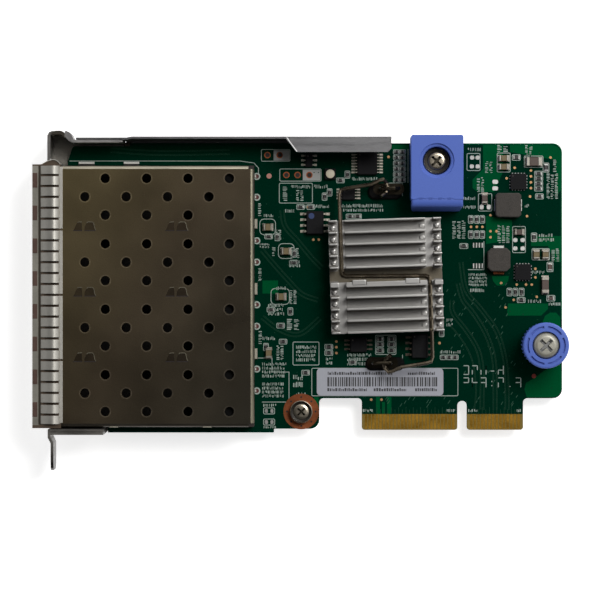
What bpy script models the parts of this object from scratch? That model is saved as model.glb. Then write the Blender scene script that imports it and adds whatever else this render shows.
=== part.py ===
"""Four-port network adapter card with a card-edge connector.

The numbers below are millimetres and the scene is in metres. The board lies flat, +Z points away from its
component side, the ports face -X and the card-edge contacts point towards -Y. The origin is the middle of the
long contact tab's tip.
"""

import math

import bmesh
import bpy
from mathutils import Matrix, Vector
from mathutils.geometry import delaunay_2d_cdt

MM = 0.001
SEAT = 0.1  # clearance between pieces that rest on each other

# Board thickness
BOARD_THICK = 1.6
BOARD_TOP = BOARD_THICK / 2
BOARD_UNDER = -BOARD_THICK / 2
ON_BOARD = BOARD_TOP + SEAT
BELOW_BOARD = BOARD_UNDER - SEAT

# Cage of the ports; it stands on the board and everything at the left follows it
PORTS = 4
PORT_PITCH = 14.25
CAGE_LONG = 48.1
CAGE_REAR = -34.1
CAGE_FRONT = CAGE_REAR - CAGE_LONG
CAGE_LOW_Y = 0.93
CAGE_PITCH_SPARE = 0.09
CAGE_HIGH_Y = CAGE_LOW_Y + PORTS * PORT_PITCH - CAGE_PITCH_SPARE
CAGE_UNDER = ON_BOARD
CAGE_TOP = 10.5
CAGE_SHEET = 0.3
DIVIDER_THICK = 0.5
VENT_RADIUS = 0.93
VENT_PITCH = 9.0
VENT_ROW_GAP = 4.0
VENT_FIRST_X = CAGE_FRONT + 15.7
VENT_SHIFT = 4.45
VENT_ROW_SHIFT = 0.27
VENT_SIDES = 8
VENT_COLUMNS = 1 + int((CAGE_REAR - VENT_FIRST_X) / VENT_PITCH)
STAKE_LONG = 2.1
STAKE_WIDE = 1.9
STAKE_RISE = 0.25
STAKE_NEAR_X = CAGE_FRONT + 10.95
STAKE_FAR_X = STAKE_NEAR_X + 20.05
STAKE_SPLIT = 2.45

# Spring finger collar round the front of the cage
COLLAR_PROUD = 0.15
COLLAR_LONG = 6.25
COLLAR_FRONT = CAGE_FRONT - COLLAR_PROUD
COLLAR_REAR = COLLAR_FRONT + COLLAR_LONG
COLLAR_SHEET = 0.15
COLLAR_LIP_LONG = 1.0
COLLAR_LIP_RISE = 0.45
LIP_GAP_WIDE = 3.3
LIP_GAP_OFFSET = 3.55
FINGER_COUNT = 24
FINGER_SLOT = 0.42
FINGER_RISE = 1.3
FINGER_ROOT = COLLAR_REAR - 0.2
FINGER_TIP = COLLAR_FRONT + 1.55
FINGER_SWEEP = 160.0
FINGER_STEPS = 4
FINGER_BELOW_STEPS = 2
SIDE_FINGERS = 4

# Port connectors
CONNECTOR_LONG = 10.1
CONNECTOR_FRONT = CAGE_REAR - 13.9
CONNECTOR_REAR = CONNECTOR_FRONT + CONNECTOR_LONG
CONNECTOR_HALF = 5.6
CONNECTOR_TOP = 9.2
CONNECTOR_SLOT_HALF = 4.7
CONNECTOR_SLOT_HIGH = 1.3
CONNECTOR_SLOT_DEEP = 5.5
CONNECTOR_SLOT_Z = 5.2
CONNECTOR_NOSE = 1.6
DIVIDER_REAR = CONNECTOR_REAR + 1.4
CAGE_FLOOR_REAR = CONNECTOR_FRONT - 1.0

# Bracket
PLATE_OUTER = COLLAR_FRONT + 3.3
SHEET = 0.6
FLOOR_THICK = 0.7
FLOOR_REAR = PLATE_OUTER + 16.45
FLOOR_CUT_Y = 4.0
WALL_TOP = 10.2
WALL_END_DROP = 1.6
WALL_ABOVE_CAGE = 5.28
UPPER_WALL_Y = CAGE_HIGH_Y + WALL_ABOVE_CAGE
WINDOW_UPPER_Y = CAGE_HIGH_Y + 1.66
CORNER_Y = UPPER_WALL_Y + 2.23
CORNER_RUN = 3.6
CORNER_BLEND = 2.4
LOWER_WALL_INNER = 0.5
LOWER_WALL_OUTER = -0.8
LOWER_WALL_END = PLATE_OUTER + 12.05
HEM_SEAM_Y = -0.15
HEM_SEAM_WIDE = 0.14
HEM_SEAM_DEEP = 0.4
EAR_END = -8.5
EAR_JOG = 0.65
EAR_JOG_START = -1.3
EAR_JOG_END = -2.6
EAR_ROUND = 1.7
EAR_LOW_Z = 0.3

# Board outline
BOARD_RIGHT = 33.55
BOARD_UPPER = UPPER_WALL_Y - 0.05
BOARD_LEFT = COLLAR_REAR + 0.9
BOARD_LOWER = -0.59
BOARD_SHOULDER = 6.95
UPPER_INSET_Y = BOARD_UPPER - 0.68
UPPER_INSET_X = FLOOR_REAR + 1.1
LOWER_INSET_Y = 1.0
LOWER_INSET_X = LOWER_WALL_END + 0.6
LEFT_SLANT_Y = UPPER_INSET_Y - 3.4
LEFT_SLANT_RUN = 1.1
MAIN_TAB_HALF = 10.5
SIDE_TAB_LEFT = MAIN_TAB_HALF + 2.11
SIDE_TAB_RIGHT = SIDE_TAB_LEFT + 12.35
TAB_CORNER = 0.6
KEY_TOP = 6.36
KEY_ROUND = 1.0
LOBE_RIGHT = -19.87
LOBE_LEFT = LOBE_RIGHT - 9.97
LOBE_LOWER = 0.24
LOBE_CORNER = 1.96
BOARD_CORNER = 2.0
INNER_FILLET = 0.93

# Card-edge contacts
CONTACT_PITCH = 0.8
CONTACT_WIDTH = 0.56
CONTACT_LONG = 3.2
CONTACT_TIP_GAP = 0.25
CONTACT_RISE = 0.04
MAIN_TAB_CONTACTS = int(2 * MAIN_TAB_HALF / CONTACT_PITCH - 1)
SIDE_TAB_CONTACTS = int((SIDE_TAB_RIGHT - SIDE_TAB_LEFT) / CONTACT_PITCH - 1)

# Screw positions
TOUCH_X = 5.68
TOUCH_Y = BOARD_UPPER - 4.17
PAD_SCREW_X = LOBE_RIGHT - 3.99
PAD_SCREW_Y = LOBE_LOWER + 3.79
THUMB_X = BOARD_RIGHT - 4.25
THUMB_Y = BOARD_SHOULDER + 11.75
TOUCH_HOLE = 1.4
PAD_HOLE = 1.6
THUMB_HOLE = 2.6

# Side rail
RAIL_THICK = 0.45
RAIL_START = PLATE_OUTER + 6.15
RAIL_JOG_START = RAIL_START + 11.1
RAIL_JOG_END = RAIL_JOG_START + 0.9
RAIL_INNER_Y = UPPER_WALL_Y + 0.6
RAIL_OUTER_Y = RAIL_INNER_Y + 0.21
RAIL_END = -4.2
RAIL_LIP_START = FLOOR_REAR + 0.15
RAIL_LIP_REACH = 0.7
FLANGE_LONG = 23.3
FLANGE_START = RAIL_END - FLANGE_LONG
FLANGE_SLANT = 2.7
FLANGE_DEEP = 3.25
FLANGE_CORNER = 0.8

# Heatsink, chip and clip
SINK_X = -5.3
SINK_Y = (CAGE_LOW_Y + CAGE_HIGH_Y) / 2 + 4.5
SINK_TURN = 1.8
SINK_WIDE = 24.6
SINK_DEEP = 24.5
CHIP_SIDE = 19.0
CHIP_THICK = 1.7
THERMAL_PAD_THICK = 0.4
SINK_BASE_THICK = 1.8
SINK_TOP = 10.0
FIN_THICK = 0.6
FIN_PITCH = 2.52
FINS_PER_BLOCK = 5
CHANNEL_HALF = 1.45
SIDE_CHANNEL_AT = 9.62
SIDE_CHANNEL_WIDE = 1.6
CLIP_RADIUS = 0.45
CLIP_OUT = 19.1
CLIP_HOOK_DROP = 0.6
ANCHOR_AT = 1.4
ANCHOR_RADIUS = 0.4
ANCHOR_HALF = 2.0
ANCHOR_BEND = 0.8
ANCHOR_BASE_LONG = 6.8
ANCHOR_BASE_WIDE = 2.4
ANCHOR_BASE_HIGH = 0.75
ANCHOR_BASE_SHIFT = 0.7
ANCHOR_BASE_ROUND = 1.0

# Blue touch-point block
TOUCH_LEFT = TOUCH_X - 5.74
TOUCH_RIGHT = TOUCH_X + 5.7
TOUCH_UPPER = TOUCH_Y + 5.65
TOUCH_LOWER = TOUCH_Y - 8.42
TOUCH_LEDGE = TOUCH_LOWER - 1.74
TOUCH_TOP = 10.2
TOUCH_LEDGE_TOP = TOUCH_TOP - 1.0
TOUCH_CORNER = 0.9
SCALLOPS = 6
SCALLOP_DEEP = 0.45
TOUCH_RECESS = 3.05
TOUCH_RING = 3.7
TOUCH_RING_DEEP = 0.5
TOUCH_SEAT_Z = 5.6
SCREW_HEAD_THICK = 2.0
SCREW_HEAD = 2.65
SCREW_SHANK = 1.2
SCREW_END = -3.4
CROSS_LONG = 1.5
CROSS_WIDE = 0.5
CROSS_DEEP = 1.1
NUT_FLATS = 5.0
NUT_THICK = 1.8

# Captive thumbscrew
KNOB_RADIUS = 5.0
KNOB_TOP = 13.0
KNOB_LOWER = 2.6
KNOB_RIM_HIGH = 1.1
KNOB_RIM_EASE = 0.4
KNOB_RIBS = 22
KNOB_RIB_INSET = 0.06
KNOB_RIB_DEEP = 0.3
KNOB_CAVITY = 3.95
KNOB_CAVITY_TOP = 9.5
KNOB_RECESS = 2.95
KNOB_RECESS_DEEP = 1.2
KNOB_BORE = 1.75
GROOVE_INNER = 3.75
GROOVE_OUTER = 4.2
GROOVE_DEEP = 0.7
GROOVE_ARCS = 6
GROOVE_SPAN = 46.0
GROOVE_STEPS = 4
THUMB_HEAD = 2.83
HEAD_RISE = 0.15
THUMB_SHANK = 1.5
THUMB_END = -4.5
WASHER_THICK = 0.7
WASHER_RADIUS = 3.6
SLEEVE_BORE = 1.75
SLEEVE_BARREL = 2.4
SLEEVE_FLANGE = 3.7
SLEEVE_FLANGE_THICK = 0.7
SLEEVE_TOP = 3.6
SLEEVE_UNDER = -1.5
SPRING_RADIUS = 3.0
SPRING_WIRE = 0.28
SPRING_TURNS = 4
SPRING_STEPS = 8

# Screw in the ringed hole
PAD_HEAD = 2.5
PAD_HEAD_THICK = 1.9
SPACER_RADIUS = 2.6
SPACER_THICK = 3.0

# Label
LABEL_LONG = 27.86
LABEL_WIDE = 6.08
LABEL_LEFT = -20.44
LABEL_RIGHT = LABEL_LEFT + LABEL_LONG
LABEL_LOWER = 7.5
LABEL_UPPER = LABEL_LOWER + LABEL_WIDE
LABEL_THICK = 0.12
LABEL_CORNER = 0.9

# Electronic parts: name, centre x, centre y, body x, body y, height, leads a side, lead pitch, lead reach
CHIPS = (
    ("memory_chip_upper", SINK_X - 15.51, SINK_Y + 11.71, 3.8, 5.1, 1.6, 4, 1.27, 1.1),
    ("memory_chip_lower", SINK_X + 7.54, SINK_Y - 15.42, 3.6, 5.3, 1.6, 4, 1.27, 1.1),
    ("buffer_chip", SINK_X - 8.16, BOARD_UPPER - 11.15, 2.9, 2.75, 1.0, 4, 0.65, 0.9),
    ("expander_chip", SINK_X - 4.04, BOARD_UPPER - 4.47, 4.4, 5.0, 1.1, 7, 0.65, 1.0),
    ("sensor_chip", SINK_X - 5.97, SINK_Y - 15.16, 3.7, 3.2, 1.2, 3, 0.95, 1.0),
    ("gate_chip", SINK_X - 16.84, BOARD_UPPER - 3.77, 1.6, 3.0, 1.1, 3, 1.0, 0.7),
)
CONVERTERS = (
    ("power_converter_upper", BOARD_RIGHT - 9.62, BOARD_UPPER - 8.48, 3.5, 3.5, 0.9),
    ("power_converter_lower", BOARD_RIGHT - 8.65, THUMB_Y + 16.02, 3.4, 3.5, 0.9),
)
INDUCTORS = (
    ("power_inductor_upper", BOARD_RIGHT - 11.95, BOARD_UPPER - 13.67, 5.6, 5.3, 3.0),
    ("power_inductor_lower", BOARD_RIGHT - 13.99, THUMB_Y + 18.72, 5.0, 5.15, 2.8),
)
INDUCTOR_CHAMFER = 0.8
CAPACITORS = (
    ("capacitor_1", CAGE_REAR + 2.9, SINK_Y + 10.72, 1.3, 2.1, 1.2),
    ("capacitor_2", CAGE_REAR + 6.9, SINK_Y + 5.42, 1.3, 2.1, 1.2),
    ("capacitor_3", CAGE_REAR + 5.8, SINK_Y - 4.58, 1.3, 2.1, 1.2),
    ("capacitor_4", CAGE_REAR + 3.1, SINK_Y - 16.98, 1.3, 2.1, 1.2),
    ("capacitor_5", BOARD_RIGHT - 6.25, BOARD_UPPER - 4.07, 3.3, 1.9, 1.5),
    ("capacitor_6", BOARD_RIGHT - 12.85, BOARD_UPPER - 4.27, 2.0, 2.6, 1.3),
    ("capacitor_7", BOARD_RIGHT - 3.75, THUMB_Y + 13.2, 1.5, 3.6, 1.5),
    ("capacitor_8", BOARD_RIGHT - 17.05, BOARD_UPPER - 12.17, 1.3, 2.1, 1.2),
)
SWITCH_X = SINK_X - 12.17
SWITCH_Y = BOARD_UPPER - 6.77
SWITCH_SIDE = 2.4
SWITCH_BASE = 0.9
SWITCH_DOME = 0.95
SWITCH_DOME_RISE = 0.45
LEAD_WIDE_SHARE = 0.42
LEAD_THICK = 0.2
LEAD_FOOT_SHARE = 0.6
LEAD_SHOULDER_SHARE = 0.5
LEAD_ROOT = 0.1

SLOTS = {
    "board_green": ((0.0, 0.045, 0.02), 0.0, 0.4),
    "contact_gold": ((0.6, 0.4, 0.12), 1.0, 0.3),
    "bracket_steel": ((0.09, 0.09, 0.092), 0.8, 0.5),
    "rail_steel": ((0.16, 0.155, 0.155), 0.8, 0.45),
    "cage_steel": ((0.3, 0.27, 0.22), 1.0, 0.38),
    "collar_steel": ((0.6, 0.58, 0.52), 1.0, 0.3),
    "connector_black": ((0.02, 0.02, 0.022), 0.0, 0.5),
    "chip_black": ((0.03, 0.03, 0.033), 0.0, 0.55),
    "thermal_grey": ((0.4, 0.4, 0.42), 0.0, 0.8),
    "sink_aluminium": ((0.55, 0.55, 0.53), 1.0, 0.4),
    "clip_steel": ((0.3, 0.26, 0.2), 1.0, 0.35),
    "touch_blue": ((0.1, 0.15, 0.52), 0.0, 0.5),
    "screw_steel": ((0.5, 0.48, 0.45), 1.0, 0.3),
    "ferrite_grey": ((0.12, 0.11, 0.1), 0.2, 0.6),
    "capacitor_tan": ((0.3, 0.2, 0.11), 0.0, 0.5),
    "label_white": ((0.48, 0.48, 0.55), 0.0, 0.6),
}


def material(slot):
    found = bpy.data.materials.get(slot)
    if found:
        return found
    colour, metallic, roughness = SLOTS[slot]
    made = bpy.data.materials.new(slot)
    made.use_nodes = True
    shader = made.node_tree.nodes["Principled BSDF"]
    shader.inputs["Base Color"].default_value = (*colour, 1.0)
    shader.inputs["Metallic"].default_value = metallic
    shader.inputs["Roughness"].default_value = roughness
    made.diffuse_color = (*colour, 1.0)
    return made


def solid(name, points, faces, slot, flatten=False):
    """An object from points in millimetres; flatten merges faces that lie in one plane."""
    points = [Vector(point) for point in points]
    low = Vector([min(point[a] for point in points) for a in range(3)])
    high = Vector([max(point[a] for point in points) for a in range(3)])
    origin = Vector(((low.x + high.x) / 2, (low.y + high.y) / 2, low.z))
    mesh = bpy.data.meshes.new(name)
    mesh.from_pydata([(point - origin) * MM for point in points], [], faces)
    work = bmesh.new()
    work.from_mesh(mesh)
    bmesh.ops.remove_doubles(work, verts=work.verts, dist=1e-7)
    bmesh.ops.recalc_face_normals(work, faces=work.faces)
    if flatten:
        bmesh.ops.dissolve_limit(work, angle_limit=math.radians(0.1), verts=work.verts, edges=work.edges)
    work.to_mesh(mesh)
    work.free()
    made = bpy.data.objects.new(name, mesh)
    made.location = origin * MM
    made.data.materials.append(material(slot))
    bpy.context.scene.collection.objects.link(made)
    return made


def smooth(made, degrees=35):
    """Shades a round piece smooth and keeps its corners sharp."""
    made.data.shade_smooth()
    made.data.set_sharp_from_angle(angle=math.radians(degrees))
    return made


def fused_boxes(name, boxes, slot):
    """One solid from boxes (x0, x1, y0, y1, z0, z1) that share faces or overlap."""
    cuts = [sorted({round(value, 4) for box in boxes for value in box[2 * a : 2 * a + 2]}) for a in range(3)]
    filled = set()
    for box in boxes:
        spans = []
        for a in range(3):
            low, high = (cuts[a].index(round(value, 4)) for value in box[2 * a : 2 * a + 2])
            spans.append(range(low, high))
        filled.update((i, j, k) for i in spans[0] for j in spans[1] for k in spans[2])
    numbers = {}
    faces = []
    for cell in sorted(filled):
        for a in range(3):
            for side in (0, 1):
                beside = list(cell)
                beside[a] += 2 * side - 1
                if tuple(beside) in filled:
                    continue
                b, c = (a + 1) % 3, (a + 2) % 3
                face = []
                for step_b, step_c in ((0, 0), (1, 0), (1, 1), (0, 1)):
                    corner = list(cell)
                    corner[a] += side
                    corner[b] += step_b
                    corner[c] += step_c
                    face.append(numbers.setdefault(tuple(corner), len(numbers)))
                faces.append(face if side else face[::-1])
    points = [(cuts[0][i], cuts[1][j], cuts[2][k]) for i, j, k in numbers]
    return solid(name, points, faces, slot, flatten=True)


def anticlockwise(loop):
    area = sum(x0 * y1 - x1 * y0 for (x0, y0), (x1, y1) in zip(loop, [*loop[1:], loop[0]]))
    return list(loop) if area > 0 else list(reversed(loop))


def extrude(name, outline, low, high, slot, holes=(), axis="Z"):
    """A flat outline given thickness. Axis X takes (y, z) points and axis Y takes (x, z) points."""
    loops = [anticlockwise(loop) for loop in (outline, *holes)]
    flat = [Vector(point) for loop in loops for point in loop]
    edges = []
    for loop in loops:
        first = len(edges)
        edges += [(first + i, first + (i + 1) % len(loop)) for i in range(len(loop))]
    rings = []
    for loop in loops:
        first = sum(len(ring) for ring in rings)
        rings.append(list(range(first, first + len(loop))))
    flat, _, tiles, _, _, owners = delaunay_2d_cdt(flat, edges, rings, 1, 1e-6)
    tiles = [tile for tile, owner in zip(tiles, owners) if list(owner) == [0]]
    place = {
        "Z": lambda point, along: (point.x, point.y, along),
        "X": lambda point, along: (along, point.x, point.y),
        "Y": lambda point, along: (point.x, along, point.y),
    }[axis]
    points = [place(point, along) for along in (low, high) for point in flat]
    count = len(flat)
    uses = {}
    for tile in tiles:
        for i, start in enumerate(tile):
            end = tile[(i + 1) % len(tile)]
            uses.setdefault(frozenset((start, end)), []).append((start, end))
    faces = [tuple(reversed(tile)) for tile in tiles]
    faces += [tuple(index + count for index in tile) for tile in tiles]
    faces += [
        (start, end, end + count, start + count)
        for ((start, end), *others) in uses.values()
        if not others
    ]
    return solid(name, points, faces, slot)


def circle(x, y, radius, sides=24):
    steps = [2 * math.pi * i / sides for i in range(sides)]
    return [(x + radius * math.cos(a), y + radius * math.sin(a)) for a in steps]


def rounded(corners, steps=5):
    """An outline from corners (x, y, radius), each replaced by an arc."""
    outline = []
    for i, (x, y, radius) in enumerate(corners):
        here = Vector((x, y))
        to_last = (Vector(corners[i - 1][:2]) - here).normalized()
        to_next = (Vector(corners[(i + 1) % len(corners)][:2]) - here).normalized()
        if radius <= 0:
            outline.append((x, y))
            continue
        half = to_last.angle(to_next) / 2
        middle = here + (to_last + to_next).normalized() * radius / math.sin(half)
        start = here + to_last * radius / math.tan(half) - middle
        sweep = start.angle_signed(here + to_next * radius / math.tan(half) - middle)
        for step in range(steps + 1):
            turned = start.copy()
            turned.rotate(Matrix.Rotation(-sweep * step / steps, 2))
            outline.append(tuple(middle + turned))
    return outline


def lathe(name, profile, x, y, slot, sides=24):
    """A solid turned round a vertical axis from a closed profile of (radius, z)."""
    points = []
    for turn in range(sides):
        angle = 2 * math.pi * turn / sides
        points += [(x + r * math.cos(angle), y + r * math.sin(angle), z) for r, z in profile]
    count = len(profile)
    faces = []
    for turn in range(sides):
        here, beside = turn * count, (turn + 1) % sides * count
        for i in range(count):
            after = (i + 1) % count
            if profile[i][0] == 0 and profile[after][0] == 0:
                continue
            face = [here + i, here + after, beside + after, beside + i]
            if profile[i][0] == 0:
                face = face[:3]
            elif profile[after][0] == 0:
                face = [face[0], face[1], face[3]]
            faces.append(face)
    return smooth(solid(name, points, faces, slot))


def tube(name, path, radius, slot, sides=8):
    """A round bar along a path of (x, y, z) points."""
    path = [Vector(point) for point in path]
    points = []
    across = None
    for i, here in enumerate(path):
        before = (here - path[i - 1]).normalized() if i else None
        after = (path[i + 1] - here).normalized() if i + 1 < len(path) else None
        along = ((before or after) + (after or before)).normalized()
        if across is None:
            across = along.orthogonal().normalized()
        across = (across - along * across.dot(along)).normalized()
        upright = along.cross(across)
        for step in range(sides):
            angle = 2 * math.pi * step / sides
            points.append(here + (across * math.cos(angle) + upright * math.sin(angle)) * radius)
    faces = [tuple(reversed(range(sides))), tuple(range(len(points) - sides, len(points)))]
    for ring in range(len(path) - 1):
        for step in range(sides):
            beside = (step + 1) % sides
            first = ring * sides
            faces.append((first + step, first + beside, first + sides + beside, first + sides + step))
    return smooth(solid(name, points, faces, slot), 60)


def standing_sheet(name, path, thick, slot):
    """A sheet on edge along (x, y, low z, high z) points of its middle line."""
    points = []
    for i, (x, y, low, high) in enumerate(path):
        here = Vector((x, y))
        before = (here - Vector(path[i - 1][:2])).normalized() if i else None
        after = (Vector(path[i + 1][:2]) - here).normalized() if i + 1 < len(path) else None
        along = ((before or after) + (after or before)).normalized()
        reach = thick / 2 / along.dot(before or after)
        side = Vector((-along.y, along.x)) * reach
        for edge in (here + side, here - side):
            points += [(edge.x, edge.y, low), (edge.x, edge.y, high)]
    faces = [(0, 1, 3, 2), tuple(len(points) - 4 + i for i in (0, 2, 3, 1))]
    for i in range(len(path) - 1):
        a, b = 4 * i, 4 * i + 4
        faces += [(a, b, b + 1, a + 1), (a + 2, a + 3, b + 3, b + 2)]
        faces += [(a, a + 2, b + 2, b), (a + 1, b + 1, b + 3, a + 3)]
    return solid(name, points, faces, slot)


def turn(made, x, y, degrees):
    """Turns an object about the vertical line through (x, y)."""
    centre = Vector((x * MM, y * MM, 0))
    arm = made.location - centre
    arm.rotate(Matrix.Rotation(math.radians(degrees), 3, "Z"))
    made.location = centre + arm
    made.rotation_euler.z += math.radians(degrees)
    return made


def joined(name, pieces, slot):
    """One helper mesh from several separate solids."""
    work = bmesh.new()
    for piece in pieces:
        piece.data.transform(Matrix.Translation(piece.location))
        work.from_mesh(piece.data)
        bpy.data.objects.remove(piece, do_unlink=True)
    mesh = bpy.data.meshes.new(name)
    work.to_mesh(mesh)
    work.free()
    made = bpy.data.objects.new(name, mesh)
    made.data.materials.append(material(slot))
    bpy.context.scene.collection.objects.link(made)
    return made


def boolean(target, helper, operation):
    modifier = target.modifiers.new(helper.name, "BOOLEAN")
    modifier.operation = operation
    modifier.solver = "EXACT"
    modifier.object = helper
    helper.hide_render = True
    helper.display_type = "WIRE"


def cut(target, helper):
    boolean(target, helper, "DIFFERENCE")


def add(target, helper):
    boolean(target, helper, "UNION")


def circuit_board():
    corners = [
        (BOARD_LEFT, LEFT_SLANT_Y, 0),
        (BOARD_LEFT + LEFT_SLANT_RUN, UPPER_INSET_Y, 0.8),
        (UPPER_INSET_X, UPPER_INSET_Y, 0),
        (UPPER_INSET_X, BOARD_UPPER, 0),
        (BOARD_RIGHT, BOARD_UPPER, BOARD_CORNER),
        (BOARD_RIGHT, BOARD_SHOULDER, BOARD_CORNER),
        (SIDE_TAB_RIGHT, BOARD_SHOULDER, INNER_FILLET),
        (SIDE_TAB_RIGHT, 0, TAB_CORNER),
        (SIDE_TAB_LEFT, 0, TAB_CORNER),
        (SIDE_TAB_LEFT, KEY_TOP, KEY_ROUND),
        (MAIN_TAB_HALF, KEY_TOP, KEY_ROUND),
        (MAIN_TAB_HALF, 0, TAB_CORNER),
        (-MAIN_TAB_HALF, 0, TAB_CORNER),
        (-MAIN_TAB_HALF, BOARD_SHOULDER, INNER_FILLET),
        (LOBE_RIGHT, BOARD_SHOULDER, INNER_FILLET),
        (LOBE_RIGHT, LOBE_LOWER, LOBE_CORNER),
        (LOBE_LEFT, LOBE_LOWER, 0.2),
        (LOBE_LEFT, BOARD_LOWER, 0.2),
        (LOWER_INSET_X, BOARD_LOWER, 0),
        (LOWER_INSET_X, LOWER_INSET_Y, 0),
        (BOARD_LEFT, LOWER_INSET_Y, 0.8),
    ]
    holes = [
        circle(TOUCH_X, TOUCH_Y, TOUCH_HOLE, 20),
        circle(PAD_SCREW_X, PAD_SCREW_Y, PAD_HOLE, 20),
        circle(THUMB_X, THUMB_Y, THUMB_HOLE, 24),
    ]
    board = extrude("circuit_board", rounded(corners), BOARD_UNDER, BOARD_TOP, "board_green", holes)
    contacts = []
    rows = (
        (0.0, MAIN_TAB_CONTACTS),
        ((SIDE_TAB_LEFT + SIDE_TAB_RIGHT) / 2, SIDE_TAB_CONTACTS),
    )
    for middle, count in rows:
        for i in range(count):
            x = middle + (i - (count - 1) / 2) * CONTACT_PITCH
            box = (
                x - CONTACT_WIDTH / 2,
                x + CONTACT_WIDTH / 2,
                CONTACT_TIP_GAP,
                CONTACT_TIP_GAP + CONTACT_LONG,
                BOARD_TOP - CONTACT_RISE,
                BOARD_TOP + CONTACT_RISE,
            )
            contacts.append(fused_boxes("contact", [box], "contact_gold"))
    add(board, joined("contacts", contacts, "contact_gold"))


def port_centre(number):
    middle = (CAGE_LOW_Y + CAGE_HIGH_Y) / 2
    return middle + (number - (PORTS - 1) / 2) * PORT_PITCH


def cage():
    sheet = CAGE_SHEET
    boxes = [
        (CAGE_FRONT, CAGE_REAR, CAGE_LOW_Y, CAGE_HIGH_Y, CAGE_TOP - sheet, CAGE_TOP),
        (CAGE_FRONT, CAGE_REAR, CAGE_LOW_Y, CAGE_LOW_Y + sheet, CAGE_UNDER, CAGE_TOP),
        (CAGE_FRONT, CAGE_REAR, CAGE_HIGH_Y - sheet, CAGE_HIGH_Y, CAGE_UNDER, CAGE_TOP),
        (CAGE_REAR - sheet, CAGE_REAR, CAGE_LOW_Y, CAGE_HIGH_Y, CAGE_UNDER, CAGE_TOP),
    ]
    for number in range(PORTS - 1):
        y = (port_centre(number) + port_centre(number + 1)) / 2
        for x in (STAKE_NEAR_X, STAKE_FAR_X):
            for middle in (x - STAKE_SPLIT / 2, x + STAKE_SPLIT / 2):
                boxes.append(
                    (
                        middle - STAKE_LONG / 2,
                        middle + STAKE_LONG / 2,
                        y,
                        y + STAKE_WIDE,
                        CAGE_TOP - sheet,
                        CAGE_TOP + STAKE_RISE,
                    )
                )
    cover = fused_boxes("cage_cover", boxes, "cage_steel")
    vents = []
    for number in range(PORTS):
        for row in (-1, 0, 1):
            y = port_centre(number) + row * VENT_ROW_GAP + VENT_ROW_SHIFT
            for column in range(VENT_COLUMNS):
                x = VENT_FIRST_X + column * VENT_PITCH - (0 if row else VENT_SHIFT)
                hole = circle(x, y, VENT_RADIUS, VENT_SIDES)
                vents.append(extrude("vent", hole, CAGE_TOP - 2 * sheet, CAGE_TOP + 1, "cage_steel"))
    cut(cover, joined("vent_cutter", vents, "cage_steel"))
    inner_low = CAGE_LOW_Y + sheet + SEAT
    inner_high = CAGE_HIGH_Y - sheet - SEAT
    floor_top = CAGE_UNDER + sheet
    fused_boxes(
        "cage_floor",
        [(CAGE_FRONT, CAGE_FLOOR_REAR, inner_low, inner_high, CAGE_UNDER, floor_top)],
        "cage_steel",
    )
    for number in range(PORTS - 1):
        y = (port_centre(number) + port_centre(number + 1)) / 2
        fused_boxes(
            f"cage_divider_{number + 1}",
            [
                (
                    CAGE_FRONT,
                    DIVIDER_REAR,
                    y - DIVIDER_THICK / 2,
                    y + DIVIDER_THICK / 2,
                    floor_top + SEAT,
                    CAGE_TOP - sheet - SEAT,
                )
            ],
            "cage_steel",
        )


def finger_profile(steps):
    """The arched outline of one spring finger as (x, height) points."""
    arch = []
    for step in range(steps + 1):
        share = step / steps
        height = COLLAR_SHEET + (FINGER_RISE - COLLAR_SHEET) * math.sin(math.radians(FINGER_SWEEP) * share)
        arch.append((FINGER_ROOT + (FINGER_TIP - FINGER_ROOT) * share, height))
    under = [(x, height - COLLAR_SHEET) for x, height in arch[1:]]
    return [*arch, *reversed(under), (FINGER_ROOT, COLLAR_SHEET / 3)]


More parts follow.
